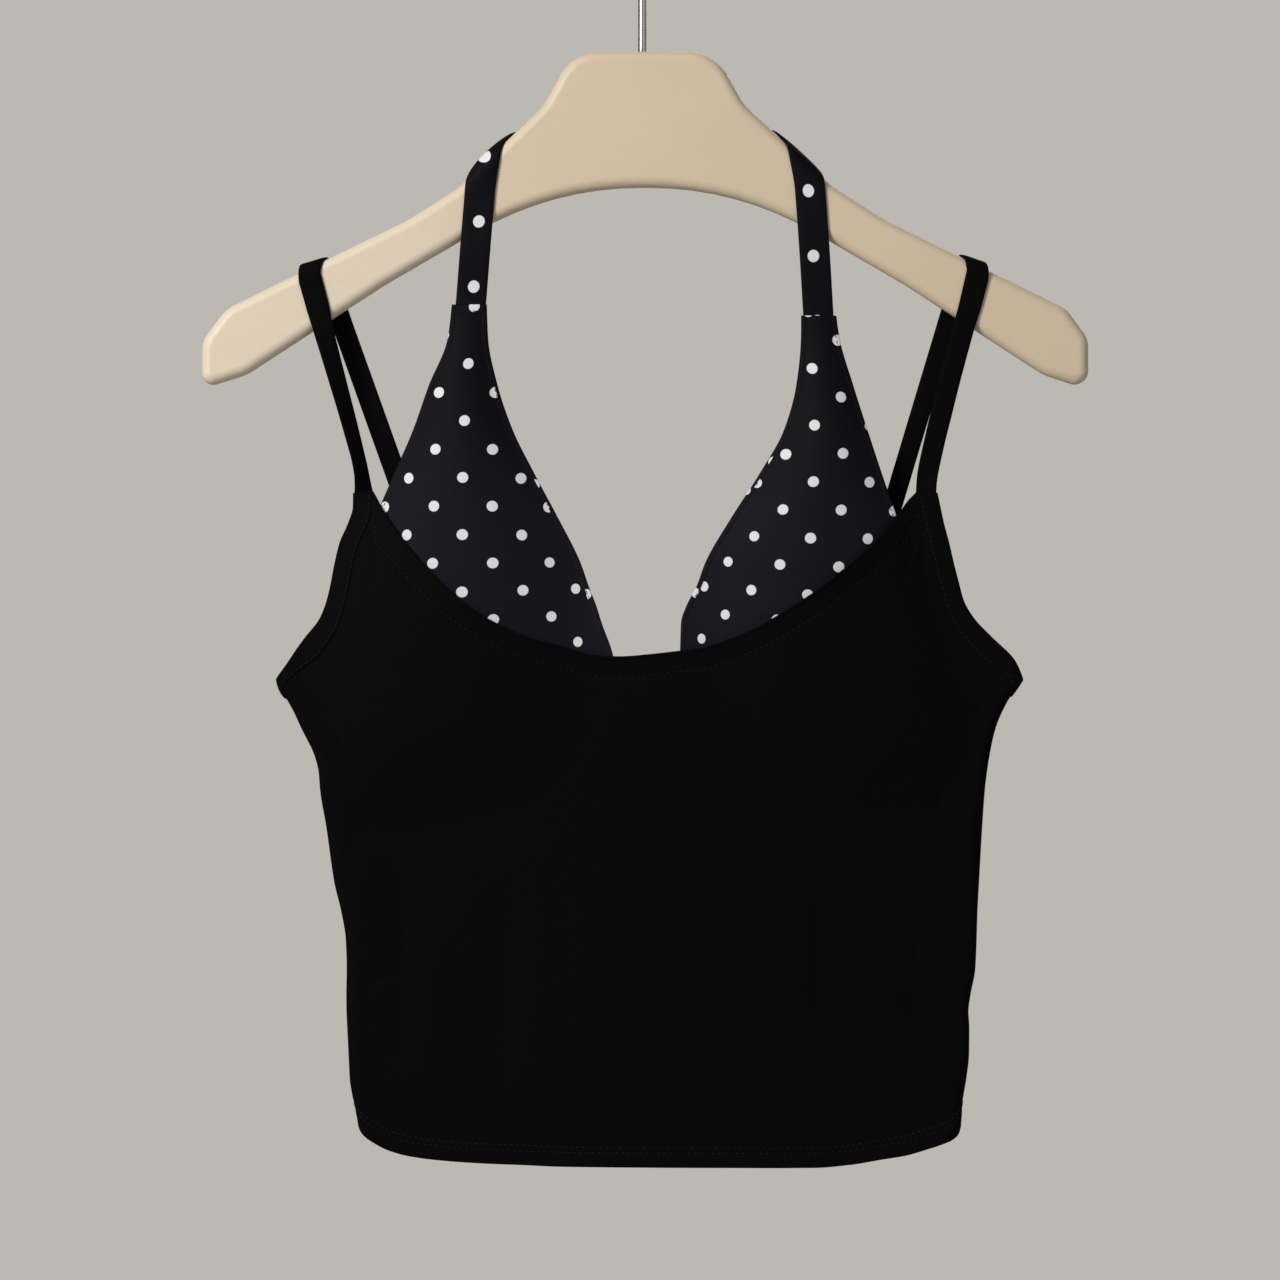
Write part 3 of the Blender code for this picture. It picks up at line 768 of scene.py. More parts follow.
def math_node(tree, operation, *values):
    made = add_node(tree, "ShaderNodeMath", operation=operation)
    for socket, value in zip(made.inputs, values):
        feed(tree, socket, value)
    return made.outputs[0]


def mix_colour(tree, share, first, second):
    made = add_node(tree, "ShaderNodeMix", data_type="RGBA")
    for number, value in ((0, share), (6, first), (7, second)):
        feed(tree, made.inputs[number], value)
    return made.outputs[2]


def object_place(tree):
    return tree.nodes.new("ShaderNodeTexCoord").outputs["Object"]


def fade_along(tree, axis, start, end):
    """A share that grows from 0 to 1 between two places along one of the object's axes."""
    split = add_node(tree, "ShaderNodeSeparateXYZ", {"Vector": object_place(tree)})
    span = {"Value": split.outputs[axis], "From Min": start, "From Max": end}
    return add_node(tree, "ShaderNodeMapRange", span, interpolation_type="SMOOTHSTEP").outputs[0]


def group_socket(group, name, way, kind="NodeSocketFloat", value=None):
    made = group.interface.new_socket(name, in_out=way, socket_type=kind)
    if value is not None:
        made.default_value = value


def knit_group():
    """Jersey: columns of small stitches, as a height and as a painted shade that is darker between them,
    where shade falls in the knit.
    """
    group = bpy.data.node_groups.new("knit", "ShaderNodeTree")
    group_socket(group, "Cloth", "INPUT", "NodeSocketVector")
    group_socket(group, "Wale", "INPUT", value=0.7)
    group_socket(group, "Unevenness", "INPUT", value=0.3)
    group_socket(group, "Height", "OUTPUT")
    group_socket(group, "Shade", "OUTPUT")
    start = group.nodes.new("NodeGroupInput")
    end = group.nodes.new("NodeGroupOutput")
    split = add_node(group, "ShaderNodeSeparateXYZ", {"Vector": start.outputs["Cloth"]})
    wales = math_node(group, "DIVIDE", split.outputs["X"], start.outputs["Wale"])
    courses = math_node(group, "DIVIDE", split.outputs["Y"], start.outputs["Wale"])
    from_middle = math_node(group, "SUBTRACT", math_node(group, "FRACT", wales), 0.5)
    across = math_node(group, "ABSOLUTE", from_middle)
    ridge = math_node(group, "SUBTRACT", 1.0, math_node(group, "MULTIPLY", across, 1.6))
    slanted = math_node(group, "ADD", math_node(group, "MULTIPLY", courses, 1.3), across)
    loop_wave = math_node(group, "SINE", math_node(group, "MULTIPLY", slanted, 2 * math.pi))
    knit = math_node(group, "MULTIPLY", ridge, math_node(group, "MULTIPLY_ADD", loop_wave, 0.22, 0.78))
    blotches = {"Vector": start.outputs["Cloth"], "Scale": 0.35, "Detail": 3.0}
    noise = add_node(group, "ShaderNodeTexNoise", blotches, noise_dimensions="3D")
    uneven = math_node(group, "MULTIPLY", noise.outputs[0], start.outputs["Unevenness"])
    # Painted shade: darker where the knit dips between its stitches. The unevenness added below is a
    # random tone.
    shade = math_node(group, "MULTIPLY_ADD", knit, 0.5, 0.6)
    feed(group, end.inputs["Height"], math_node(group, "ADD", knit, uneven))
    feed(group, end.inputs["Shade"], math_node(group, "ADD", shade, uneven))
    return group


def dots_group():
    """A staggered repeat of round dots. The print's own coordinates are one apart from row to row."""
    group = bpy.data.node_groups.new("polka_dots", "ShaderNodeTree")
    group_socket(group, "Print", "INPUT", "NodeSocketVector")
    group_socket(group, "Radius", "INPUT", value=DOT_RADIUS)
    group_socket(group, "Mask", "OUTPUT")
    start = group.nodes.new("NodeGroupInput")
    end = group.nodes.new("NodeGroupOutput")
    split = add_node(group, "ShaderNodeSeparateXYZ", {"Vector": start.outputs["Print"]})
    offsets = []
    for operation in ("ADD", "SUBTRACT"):
        both = math_node(group, operation, split.outputs["X"], split.outputs["Y"])
        diagonal = math_node(group, "MULTIPLY", both, 0.5)
        offsets.append(math_node(group, "SUBTRACT", diagonal, math_node(group, "ROUND", diagonal)))
    squares = []
    for operation in ("ADD", "SUBTRACT"):
        away = math_node(group, operation, *offsets)
        squares.append(math_node(group, "POWER", math_node(group, "ABSOLUTE", away), 2.0))
    from_dot = math_node(group, "SQRT", math_node(group, "ADD", *squares))
    inside = math_node(group, "SUBTRACT", start.outputs["Radius"], from_dot)
    mask = math_node(group, "MULTIPLY_ADD", inside, 60.0, 0.5)
    mask.node.use_clamp = True
    feed(group, end.inputs["Mask"], mask)
    return group


def new_material(name, looks):
    """A material, its node tree and its shader, with the looks that are the same all over."""
    made = bpy.data.materials.new(name)
    made.use_nodes = True
    tree = made.node_tree
    shader = tree.nodes["Principled BSDF"]
    for look, value in looks.items():
        feed(tree, shader.inputs[look], value)
    return made, tree, shader


def add_knit(tree, knit, millimetres, wale):
    """Places the knit in a material. Millimetres scales the cloth's own coordinates."""
    coordinates = add_node(tree, "ShaderNodeUVMap", uv_map="cloth").outputs[0]
    scaling = {"Vector": coordinates, "Scale": millimetres}
    scaled = add_node(tree, "ShaderNodeVectorMath", scaling, operation="SCALE").outputs[0]
    placed = add_node(tree, "ShaderNodeGroup", node_tree=knit)
    feed(tree, placed.inputs["Wale"], wale)
    feed(tree, placed.inputs["Cloth"], scaled)
    return coordinates, placed.outputs["Height"], placed.outputs["Shade"]


def add_bump(tree, shader, height, distance, strength):
    relief = {"Distance": distance, "Strength": strength, "Height": height}
    bump = add_node(tree, "ShaderNodeBump", relief)
    feed(tree, shader.inputs["Normal"], bump.outputs[0])


def black_jersey(knit):
    looks = {"Roughness": 0.82, "Specular IOR Level": 0.05}
    made, tree, shader = new_material("black_jersey_knit", looks)
    _, height, shade = add_knit(tree, knit, 1000.0, 0.75)
    # The knit's painted shade darkens the cloth between its stitches.
    colour = mix_colour(tree, shade, (0.0006, 0.0006, 0.00065), (0.0021, 0.0021, 0.0023))
    feed(tree, shader.inputs["Base Color"], colour)
    add_bump(tree, shader, height, 0.00012, 0.5)
    return made


def dotted_jersey(knit, dots):
    """The print's ground is painted a little lighter below, a painted highlight where the filled-out cups
    catch the light.
    """
    looks = {"Roughness": 0.62, "Specular IOR Level": 0.06}
    made, tree, shader = new_material("dotted_jersey_print", looks)
    coordinates, height, shade = add_knit(tree, knit, 13.3, 0.45)
    # Painted light: the ground below is painted lighter than above. The knit's painted shade darkens
    # ground and dots between stitches.
    upper_ground = mix_colour(tree, shade, (0.0018, 0.0016, 0.0024), (0.0042, 0.0039, 0.0056))
    painted_lit_ground = mix_colour(tree, shade, (0.0032, 0.0028, 0.0043), (0.0082, 0.0075, 0.0112))
    ground = mix_colour(tree, fade_along(tree, "Z", -0.225, -0.305), upper_ground, painted_lit_ground)
    white = mix_colour(tree, shade, (0.60, 0.60, 0.63), (0.78, 0.78, 0.80))
    spots = add_node(tree, "ShaderNodeGroup", node_tree=dots)
    feed(tree, spots.inputs["Radius"], DOT_RADIUS)
    feed(tree, spots.inputs["Print"], coordinates)
    mask = spots.outputs["Mask"]
    feed(tree, shader.inputs["Base Color"], mix_colour(tree, mask, ground, white))
    add_bump(tree, shader, math_node(tree, "MULTIPLY_ADD", mask, 0.35, height), 0.0001, 0.45)
    return made


def sewing_thread():
    made, tree, shader = new_material("sewing_thread", {"Roughness": 0.6, "Specular IOR Level": 0.2})
    strands = {"Vector": object_place(tree), "Scale": 900.0}
    twist = add_node(tree, "ShaderNodeTexWave", strands, bands_direction="DIAGONAL").outputs["Fac"]
    colour = mix_colour(tree, twist, (0.002, 0.002, 0.0022), (0.007, 0.007, 0.0078))
    feed(tree, shader.inputs["Base Color"], colour)
    return made


def cream_lacquer():
    """Pale lacquered wood, whose grain hardly shows under the cream. It is painted paler to the left, a
    painted highlight where the light falls more strongly.
    """
    made, tree, shader = new_material("cream_lacquer", {"Specular IOR Level": 0.3})
    place = object_place(tree)
    stretched = add_node(tree, "ShaderNodeMapping", {"Vector": place, "Scale": (6.0, 40.0, 60.0)})
    lines = {"Vector": stretched.outputs[0], "Scale": 4.0, "Detail": 5.0, "Distortion": 0.6}
    grain = add_node(tree, "ShaderNodeTexNoise", lines).outputs[0]
    blotches = {"Vector": place, "Scale": 14.0, "Detail": 2.0}
    clouds = add_node(tree, "ShaderNodeTexNoise", blotches).outputs[0]
    cream = mix_colour(tree, clouds, (0.66, 0.545, 0.395), (0.74, 0.60, 0.44))
    # Painted light: the cream is painted paler towards the left end, as if lit more strongly there.
    cream = mix_colour(tree, fade_along(tree, "X", -0.045, -0.115), cream, (0.76, 0.655, 0.515))
    colour = mix_colour(tree, math_node(tree, "MULTIPLY", grain, 0.16), cream, (0.55, 0.43, 0.30))
    feed(tree, shader.inputs["Base Color"], colour)
    feed(tree, shader.inputs["Roughness"], math_node(tree, "MULTIPLY_ADD", grain, 0.12, 0.36))
    add_bump(tree, shader, grain, 0.0001, 0.25)
    return made


def plated_wire():
    made, tree, shader = new_material("plated_wire", {"Metallic": 1.0})
    drawing = {"Vector": object_place(tree), "Scale": (900.0, 900.0, 30.0)}
    drawn = add_node(tree, "ShaderNodeMapping", drawing).outputs[0]
    lines = add_node(tree, "ShaderNodeTexNoise", {"Vector": drawn, "Scale": 1.0}).outputs[0]
    colour = mix_colour(tree, lines, (0.42, 0.41, 0.39), (0.60, 0.59, 0.57))
    feed(tree, shader.inputs["Base Color"], colour)
    feed(tree, shader.inputs["Roughness"], math_node(tree, "MULTIPLY_ADD", lines, 0.14, 0.2))
    return made


def pale_floor():
    return new_material("pale_floor", {"Base Color": (0.555, 0.525, 0.495), "Roughness": 0.9})[0]


# The camisole

# Distances from an edge at which a row or column of the cloth lies
TOP_STEPS = np.array(
    (0.0, 0.06, 0.2, 0.45, 0.85, 1.25, 1.55, 1.75, 2.0, 2.4, 3.4, 5.2, 7.0, 8.3, 8.7, 9.0, 9.3, 9.8)
)
HEM_STEPS = np.array((11.0, 10.0, 9.4, 9.0, 8.6, 7.6, 6.9, 6.6, 6.3, 5.0, 3.0, 1.2, 0.5, 0.2, 0.06, 0.0))
SIDE_STEPS = np.array((4.0, 2.4, 1.2, 0.6, 0.25, 0.08, 0.0))
ARMHOLE_SIDE_STEPS = SIDE_STEPS * 1.9
TOP_REACH = 12.0
HEM_REACH = 13.5


def body_rows(count):
    """Rows as a share of the way down and an offset: fine at the top edge and the hem."""
    middle = even(count)[1:-1]
    between = np.stack((middle, mix(TOP_REACH, -HEM_REACH, middle)), axis=1)
    top = np.stack((np.zeros(len(TOP_STEPS)), TOP_STEPS), axis=1)
    hem = np.stack((np.ones(len(HEM_STEPS)), -HEM_STEPS), axis=1)
    return np.concatenate((top, between, hem))


def neck_flare(girth, from_edge, flare_half):
    """How far a top edge stands off. Beyond the flare's half width the straps hold it close."""
    near_edge = np.clip(1 - from_edge / NECK_FLARE_WIDTH, 0.0, 1.0) ** 2
    return NECK_FLARE * near_edge * ease((flare_half - np.abs(girth)) / NECK_FLARE_FADE)


def body_place(surface_place, flare_half):
    """Where a point of the front or the back lies, and its place in the knit."""

    def spot(column, row):
        top_girth, top_drop, top_stretch = column[:, 0], column[:, 1], column[:, 2]
        side = np.where(top_girth < 0, LEFT, RIGHT)
        share = np.abs(top_girth) / half_girth(side, top_drop)
        lowest = hem_drop(side, share)
        low_stretch = hem_stretch(side, share)
        stretch = mix(top_stretch, low_stretch, row[:, 0])
        drop = mix(top_drop, lowest, row[:, 0]) + row[:, 1] * stretch
        girth_here = half_girth(side, drop)
        distances = (
            (drop - top_drop) / top_stretch,
            (lowest - drop) / low_stretch,
            girth_here * (1 - share),
        )
        return side * share * girth_here, drop, distances

    def place(column, row, depth):
        girth, drop, (from_top, from_hem, from_side) = spot(column, row)
        faced_here = column[:, 3]
        nearest = np.minimum(np.minimum(from_top, from_hem), from_side)
        bead = np.sqrt(np.clip(1 - ((from_top - ROLL_WIDTH / 2) / (ROLL_WIDTH / 2)) ** 2, 0.0, 1.0))
        rise = ROLL_RISE * bead * faced_here
        rise += FACING_RISE * ease((FACING_WIDTH - from_top) / FOLD_STEP) * (1 - bead) * faced_here
        rise += (0.5 * groove(from_top, ROLL_WIDTH + 0.2) + groove(from_top, FACING_WIDTH)) * faced_here
        rise += FACING_RISE * ease((HEM_TURN - from_hem) / FOLD_STEP)
        for line in HEM_ROWS:
            rise += groove(from_hem, line)
        wall = JERSEY * rim(nearest, JERSEY / 2)
        outer = wall / 2 + rise * rim(nearest, JERSEY / 2)
        inner = -wall / 2 - 0.5 * ROLL_RISE * bead * faced_here
        height = mix(outer, inner, depth) - JERSEY / 2
        return surface_place(girth, drop, height + neck_flare(column[:, 0], from_top, flare_half))

    def pattern(column, row):
        girth, drop, _ = spot(column, row)
        return np.stack((girth, drop), axis=1) * MM

    return place, pattern


def closing_parts(length, steps):
    """The parts of an edge, from 0 to 1, that lie these distances short of its end."""
    return 1 - steps / length


def front_columns():
    """Girth and drop of each column's top, the stretch square to the edge, and its share of facing."""
    halves = {}
    for side in (LEFT, RIGHT):
        crowded = NECK_HALF * np.sin(even(52) * math.pi / 2)
        neck = mix(NECK_HALF * even(52), crowded, 0.5)[1:]
        seat = mix(NECK_HALF, STRAP_SEAT_END, even(6))[1:]
        near_underarm = closing_parts(ARMHOLE_RISE, ARMHOLE_SIDE_STEPS)
        parts = np.unique(np.round(np.concatenate((even(24)[1:-1], near_underarm)), 5))
        girth, drop = armhole_point(side, parts)
        girths = np.concatenate((neck, seat, girth))
        drops = np.concatenate((neckline_drop(side * neck), np.full(len(seat), STRAP_SEAT_DROP), drop))
        faced = np.concatenate((np.ones(len(neck)), np.zeros(len(seat) + len(girth))))
        halves[side] = np.stack((side * girths, drops, faced), axis=1)
    middle = np.array([[0.0, neckline_drop(0.0), 1.0]])
    edge = np.concatenate((halves[LEFT][::-1], middle, halves[RIGHT]))
    stretch = np.where(edge[:, 2] > 0.5, slopes_along(edge), 1.0)
    return np.stack((edge[:, 0], edge[:, 1], stretch, edge[:, 2]), axis=1)


def back_columns():
    """The same for the back, which has a facing all along its top."""
    halves = {}
    for side in (LEFT, RIGHT):
        reach = half_girth(side, UNDERARM_DROP)
        parts = np.unique(np.round(np.concatenate((even(76)[1:-1], closing_parts(reach, SIDE_STEPS))), 5))
        girths = reach * parts
        halves[side] = np.stack((side * girths, smooth_through(BACK_TOP, "drop", girths)), axis=1)
    edge = np.concatenate((halves[LEFT][::-1], [[0.0, BACK_TOP[0].drop]], halves[RIGHT]))
    return np.stack((edge[:, 0], edge[:, 1], slopes_along(edge), np.ones(len(edge))), axis=1)


def top_seam(columns, surface_place, from_edge, flare_half):
    girth, drop, stretch, _ = columns[columns[:, 3] > 0.5].T
    height = neck_flare(girth, from_edge, flare_half) + STITCH_LIFT
    return seam(surface_place, girth, drop + from_edge * stretch, height)


def hem_seam(surface_place, from_edge):
    share = even(160, -0.985, 0.985)
    side = np.where(share < 0, LEFT, RIGHT)
    drop = hem_drop(side, np.abs(share)) - from_edge * hem_stretch(side, np.abs(share))
    return seam(surface_place, share * half_girth(side, drop), drop, STITCH_LIFT)


def binding(side, finish):
    """The strip that binds the armhole's edge, folded round it from the outer to the inner face."""
    turn_radius = JERSEY / 2 + BINDING_REST
    half_turn = turn_radius * math.pi / 2
    outer_leg = BINDING_WIDTH - 0.4
    inner_leg = BINDING_WIDTH - 0.9
    spread_from = 0.55
    spread_over = 0.28
    probe = 0.02
    seam_turn = 0.2
    edge_radius = 0.3
    row_from_edge = 0.9
    legs = np.concatenate((
        -half_turn - outer_leg * np.array((1.0, 0.985, 0.95, 0.9, 0.7, 0.45, 0.2)),
        half_turn * even(8, -1.0, 1.0),
        half_turn + inner_leg * np.array((0.2, 0.45, 0.7, 0.92, 0.97, 1.0)),
    ))

    def place(column, row, depth):
        girth, drop = armhole_point(side, row)
        before = np.stack(armhole_point(side, np.clip(row - probe, 0.0, 1.0)), axis=1)
        after = np.stack(armhole_point(side, np.clip(row + probe, 0.0, 1.0)), axis=1)
        along = after - before
        along /= np.linalg.norm(along, axis=1, keepdims=True)
        into = np.stack((-along[:, 1], along[:, 0]), axis=1)
        to_side = half_girth(side, UNDERARM_DROP + BINDING_WIDTH) - girth
        down = np.stack((to_side, np.full(len(girth), BINDING_WIDTH)), axis=1)
        down /= np.linalg.norm(down, axis=1, keepdims=True)
        into = mix(into, down, ease(1 - (1 - row) / seam_turn)[:, None])
        from_edge = np.minimum(column + half_turn + outer_leg, half_turn + inner_leg - column)
        wall = BINDING_WALL * rim(from_edge, edge_radius)
        radius = turn_radius + wall * (1 - depth)
        angle = np.clip(column / half_turn, -1.0, 1.0) * math.pi / 2
        wider = 1 + BINDING_SPREAD / outer_leg * ease((row - spread_from) / spread_over)
        leg = np.clip(np.abs(column) - half_turn, 0.0, None) * wider
        inward = leg - radius * np.cos(angle)
        height = -JERSEY / 2 - radius * np.sin(angle)
        across_leg = np.clip(leg / wider / outer_leg, 0.0, 1.0)
        height += BINDING_PUFF * np.sin(across_leg * math.pi) * (column < 0) * (1 - depth)
        return front_cloth(side * (girth + into[:, 0] * inward), drop + into[:, 1] * inward, height)

    def pattern(column, row):
        return np.stack((column, row * BINDING_LENGTH), axis=1) * MM

    rows = even(70, probe / 2, 1.0)
    made = cloth("armhole_binding_" + side_name(side), legs, rows, place, pattern, finish)
    stitched = even(60, 0.02, 0.98)
    column = np.full(len(stitched), -half_turn - outer_leg + row_from_edge)
    return made, sewn(place, column, stitched)


# The cups


def cup_print(side, x, drop):
    """A point's place in the dotted print, one unit from row to row."""
    layout = CUP_PRINTS[side]
    above = np.clip((PRINT_MIDDLE_DROP - drop) / LEAN_OVER, 0.0, None)
    below = np.clip((drop - LOW_LEAN_DROP) / LOW_LEAN_OVER, 0.0, 1.2)
    away = x - layout.x - layout.lean * above**2 - layout.low_lean * below
    away = away / (1 + layout.spread * np.clip(drop - PRINT_MIDDLE_DROP, 0.0, None))
    inwards = np.clip(-side * away, 0.0, None)
    over_cloth = away + away**3 / (6 * TURN_AWAY**2)
    lowered = drop + INNER_RISE * inwards * np.clip(drop - layout.rise_from, 0.0, None)
    across = (over_cloth - layout.first_dot_x) / DOT_PITCH_ACROSS
    down = (lowered - layout.first_dot_drop) / layout.pitch_down
    return np.stack((across, down), axis=1)


def cup(side, print_finish, lining_finish):
    """A cup of two layers with turned edges. The dots on a turned edge don't meet those beside it."""
    length = 190.0
    top_drop = CUP_APEX[side] - 0.3
    narrow_under = 15.2
    near_edge = np.array((0.0, 0.06, 0.2, 0.5, 1.0, 1.6, 2.2, 2.6, 3.0, 3.8))
    inner_edge = np.stack((np.zeros(len(near_edge)), near_edge), axis=1)
    outer_edge = np.stack((np.ones(len(near_edge)), -near_edge[::-1]), axis=1)
    share = even(56)[1:-1]
    between = np.stack((share, mix(4.6, -4.6, share)), axis=1)
    columns = np.concatenate((inner_edge, between, outer_edge))
    top = np.array((0.0, 0.06, 0.2, 0.5, 1.0, 2.0, 3.2))
    lower = 1 - np.array((2.4, 1.2, 0.5, 0.2, 0.06, 0.0)) / length
    rows = np.concatenate((top / length, even(100, 4.4 / length, 0.982), lower))

    def spot(column, row):
        level = np.clip(column[:, 0] * 2 - 1, -1.0, 1.0)
        base = CUP_BASE_DROP + CUP_BASE_DIP * np.sqrt(np.clip(1 - level**2, 0.0, None))
        drop = mix(top_drop, base, row)
        inner = sided(CUP_SECTIONS, "_inner", side, drop)
        outer = sided(CUP_SECTIONS, "_outer", side, drop)
        narrow = np.clip((outer - inner) / narrow_under, 0.0, 1.0)
        x = mix(inner, outer, column[:, 0]) + column[:, 1] * narrow
        return x, drop, inner, outer, base

    def place(column, row, depth):
        x, drop, inner, outer, base = spot(column, row)
        from_side = np.minimum(x - inner, outer - x)
        from_top = drop - top_drop
        nearest = np.minimum(np.minimum(from_side, from_top), base - drop)
        wall = CUP_WALL * rim(nearest, CUP_WALL / 2)
        turned = CUP_TURN_RISE * ease((CUP_TURN - from_side) / 0.5) + 0.4 * groove(from_side, CUP_TURN)
        turned += CUP_TOP_RISE * ease((CUP_TOP_TURN - from_top) / 0.8)
        outer_face = wall / 2 + turned * rim(nearest, CUP_WALL / 2)
        height = mix(outer_face, -wall / 2, depth) - CUP_WALL / 2 - CUP_INSET
        return raised(front_surface, side * x, drop, height)

    def pattern(column, row):
        x, drop, _, _, _ = spot(column, row)
        return cup_print(side, side * x, drop)

    made = cloth("bra_cup_" + side_name(side), columns, rows, place, pattern, print_finish, lining_finish)
    shift_edge_print(made.data, side)

    down = even(90, 0.03, 0.97)
    edges = ((0.0, CUP_EDGE_ROW), (1.0, -CUP_EDGE_ROW))
    seams = [sewn(place, np.tile(edge, (len(down), 1)), down) for edge in edges]
    span = even(24, 0.08, 0.92)
    below_top = CUP_TOP_ROW / (CUP_BASE_DROP + CUP_BASE_DIP - CUP_APEX[side])
    column = np.stack((span, np.zeros(len(span))), axis=1)
    seams.append(sewn(place, column, np.full(len(span), below_top)))
    return made, seams


def shift_edge_print(mesh, side):
    """Moves the print of the turned inner edge, which is cut and folded over from elsewhere."""
    layer = mesh.uv_layers["cloth"].data
    shift = CUP_PRINTS[side].edge_shift
    for polygon in mesh.polygons:
        middle = polygon.center / MM
        drop = -middle.z - HOOK_RISE
        if drop < EDGE_PRINT_DROP or abs(middle.x) > EDGE_PRINT_REACH:
            continue
        inner = float(sided(CUP_SECTIONS, "_inner", side, drop))
        if abs(middle.x) - inner < CUP_TURN:
            for loop in polygon.loop_indices:
                layer[loop].uv.x += shift[0]
                layer[loop].uv.y += shift[1]


# Straps: flat tubes of jersey that go over one of the hanger's straight top edges


class Edge:
    """A straight top edge of the hanger, and the way over it from the front face to the back face."""

    rounding = HANGER_EDGE + 0.4
    quarter = rounding * math.pi / 2
    crest = HANGER_THICKNESS - 2 * HANGER_EDGE
    wrap = 2 * quarter + crest

    def __init__(self, side, inner, outer):
        self.side = side
        start = np.array((inner.x, -inner.drop))
        run = np.array((outer.x, -outer.drop)) - start
        self.out = run / np.hypot(*run)
        self.up = np.array((-self.out[1], self.out[0]))
        self.start = start - self.up * HANGER_EDGE

    def flat(self, x, drop, behind=False):
        offset = np.array((x, -drop)) - self.start
        over = offset @ self.up
        return np.array((offset @ self.out, self.wrap - over if behind else over))

    def crossing(self, x, behind=False):
        return np.array(((x - self.start[0]) / self.out[0], self.wrap if behind else 0.0))

    def place(self, along, over, lift):
        """The points that lie this far outside the hanger's surface."""
        radius = HANGER_EDGE + lift
        middle = self.crest / 2
        rising = over / self.rounding
        falling = (over - self.quarter - self.crest) / self.rounding
        stages = [over < 0, over < self.quarter, over < self.quarter + self.crest, over < self.wrap]
        heights = [over, radius * np.sin(rising), radius, radius * np.cos(falling)]
        depths = [
            -(middle + radius),
            -(middle + radius * np.cos(rising)),
            over - self.quarter - middle,
            middle + radius * np.sin(falling),
        ]
        height = np.select(stages, heights, self.wrap - over)
        y = np.select(stages, depths, middle + radius)
        x = self.start[0] + self.out[0] * along + self.up[0] * height
        z = self.start[1] + self.out[1] * along + self.up[1] * height
        return place_at(self.side * x, y, -z)


def flattened(wave, power):
    """A sine or cosine that stays longer near its ends, which squares off a round section."""
    return np.sign(wave) * np.abs(wave) ** power


def tube_section(around, depth, width, thickness):
    """Across and outward offsets round a flat tube. Around is 0 at the middle of its inner face."""
    angle = 2 * math.pi * around - math.pi / 2
    half_width = width / 2 - TUBE_WALL * depth
    half_thickness = thickness / 2 - TUBE_WALL * depth
    return half_width * flattened(np.cos(angle), 0.45), half_thickness * flattened(np.sin(angle), 0.75)


def tube_turns(count):
    """Places round a tube, closer together at its two folded edges."""
    crowding = 0.055
    turns = even(count)[:-1]
    return turns - crowding * np.sin(4 * math.pi * turns)


def wall_middle(surface, girth, drop):
    """How far the middle of a cloth's wall stands off from the hanger's face."""
    y = raised(surface, np.array([girth]), np.array([drop]), -JERSEY / 2)[0, 1]
    return abs(y) - HANGER_THICKNESS / 2


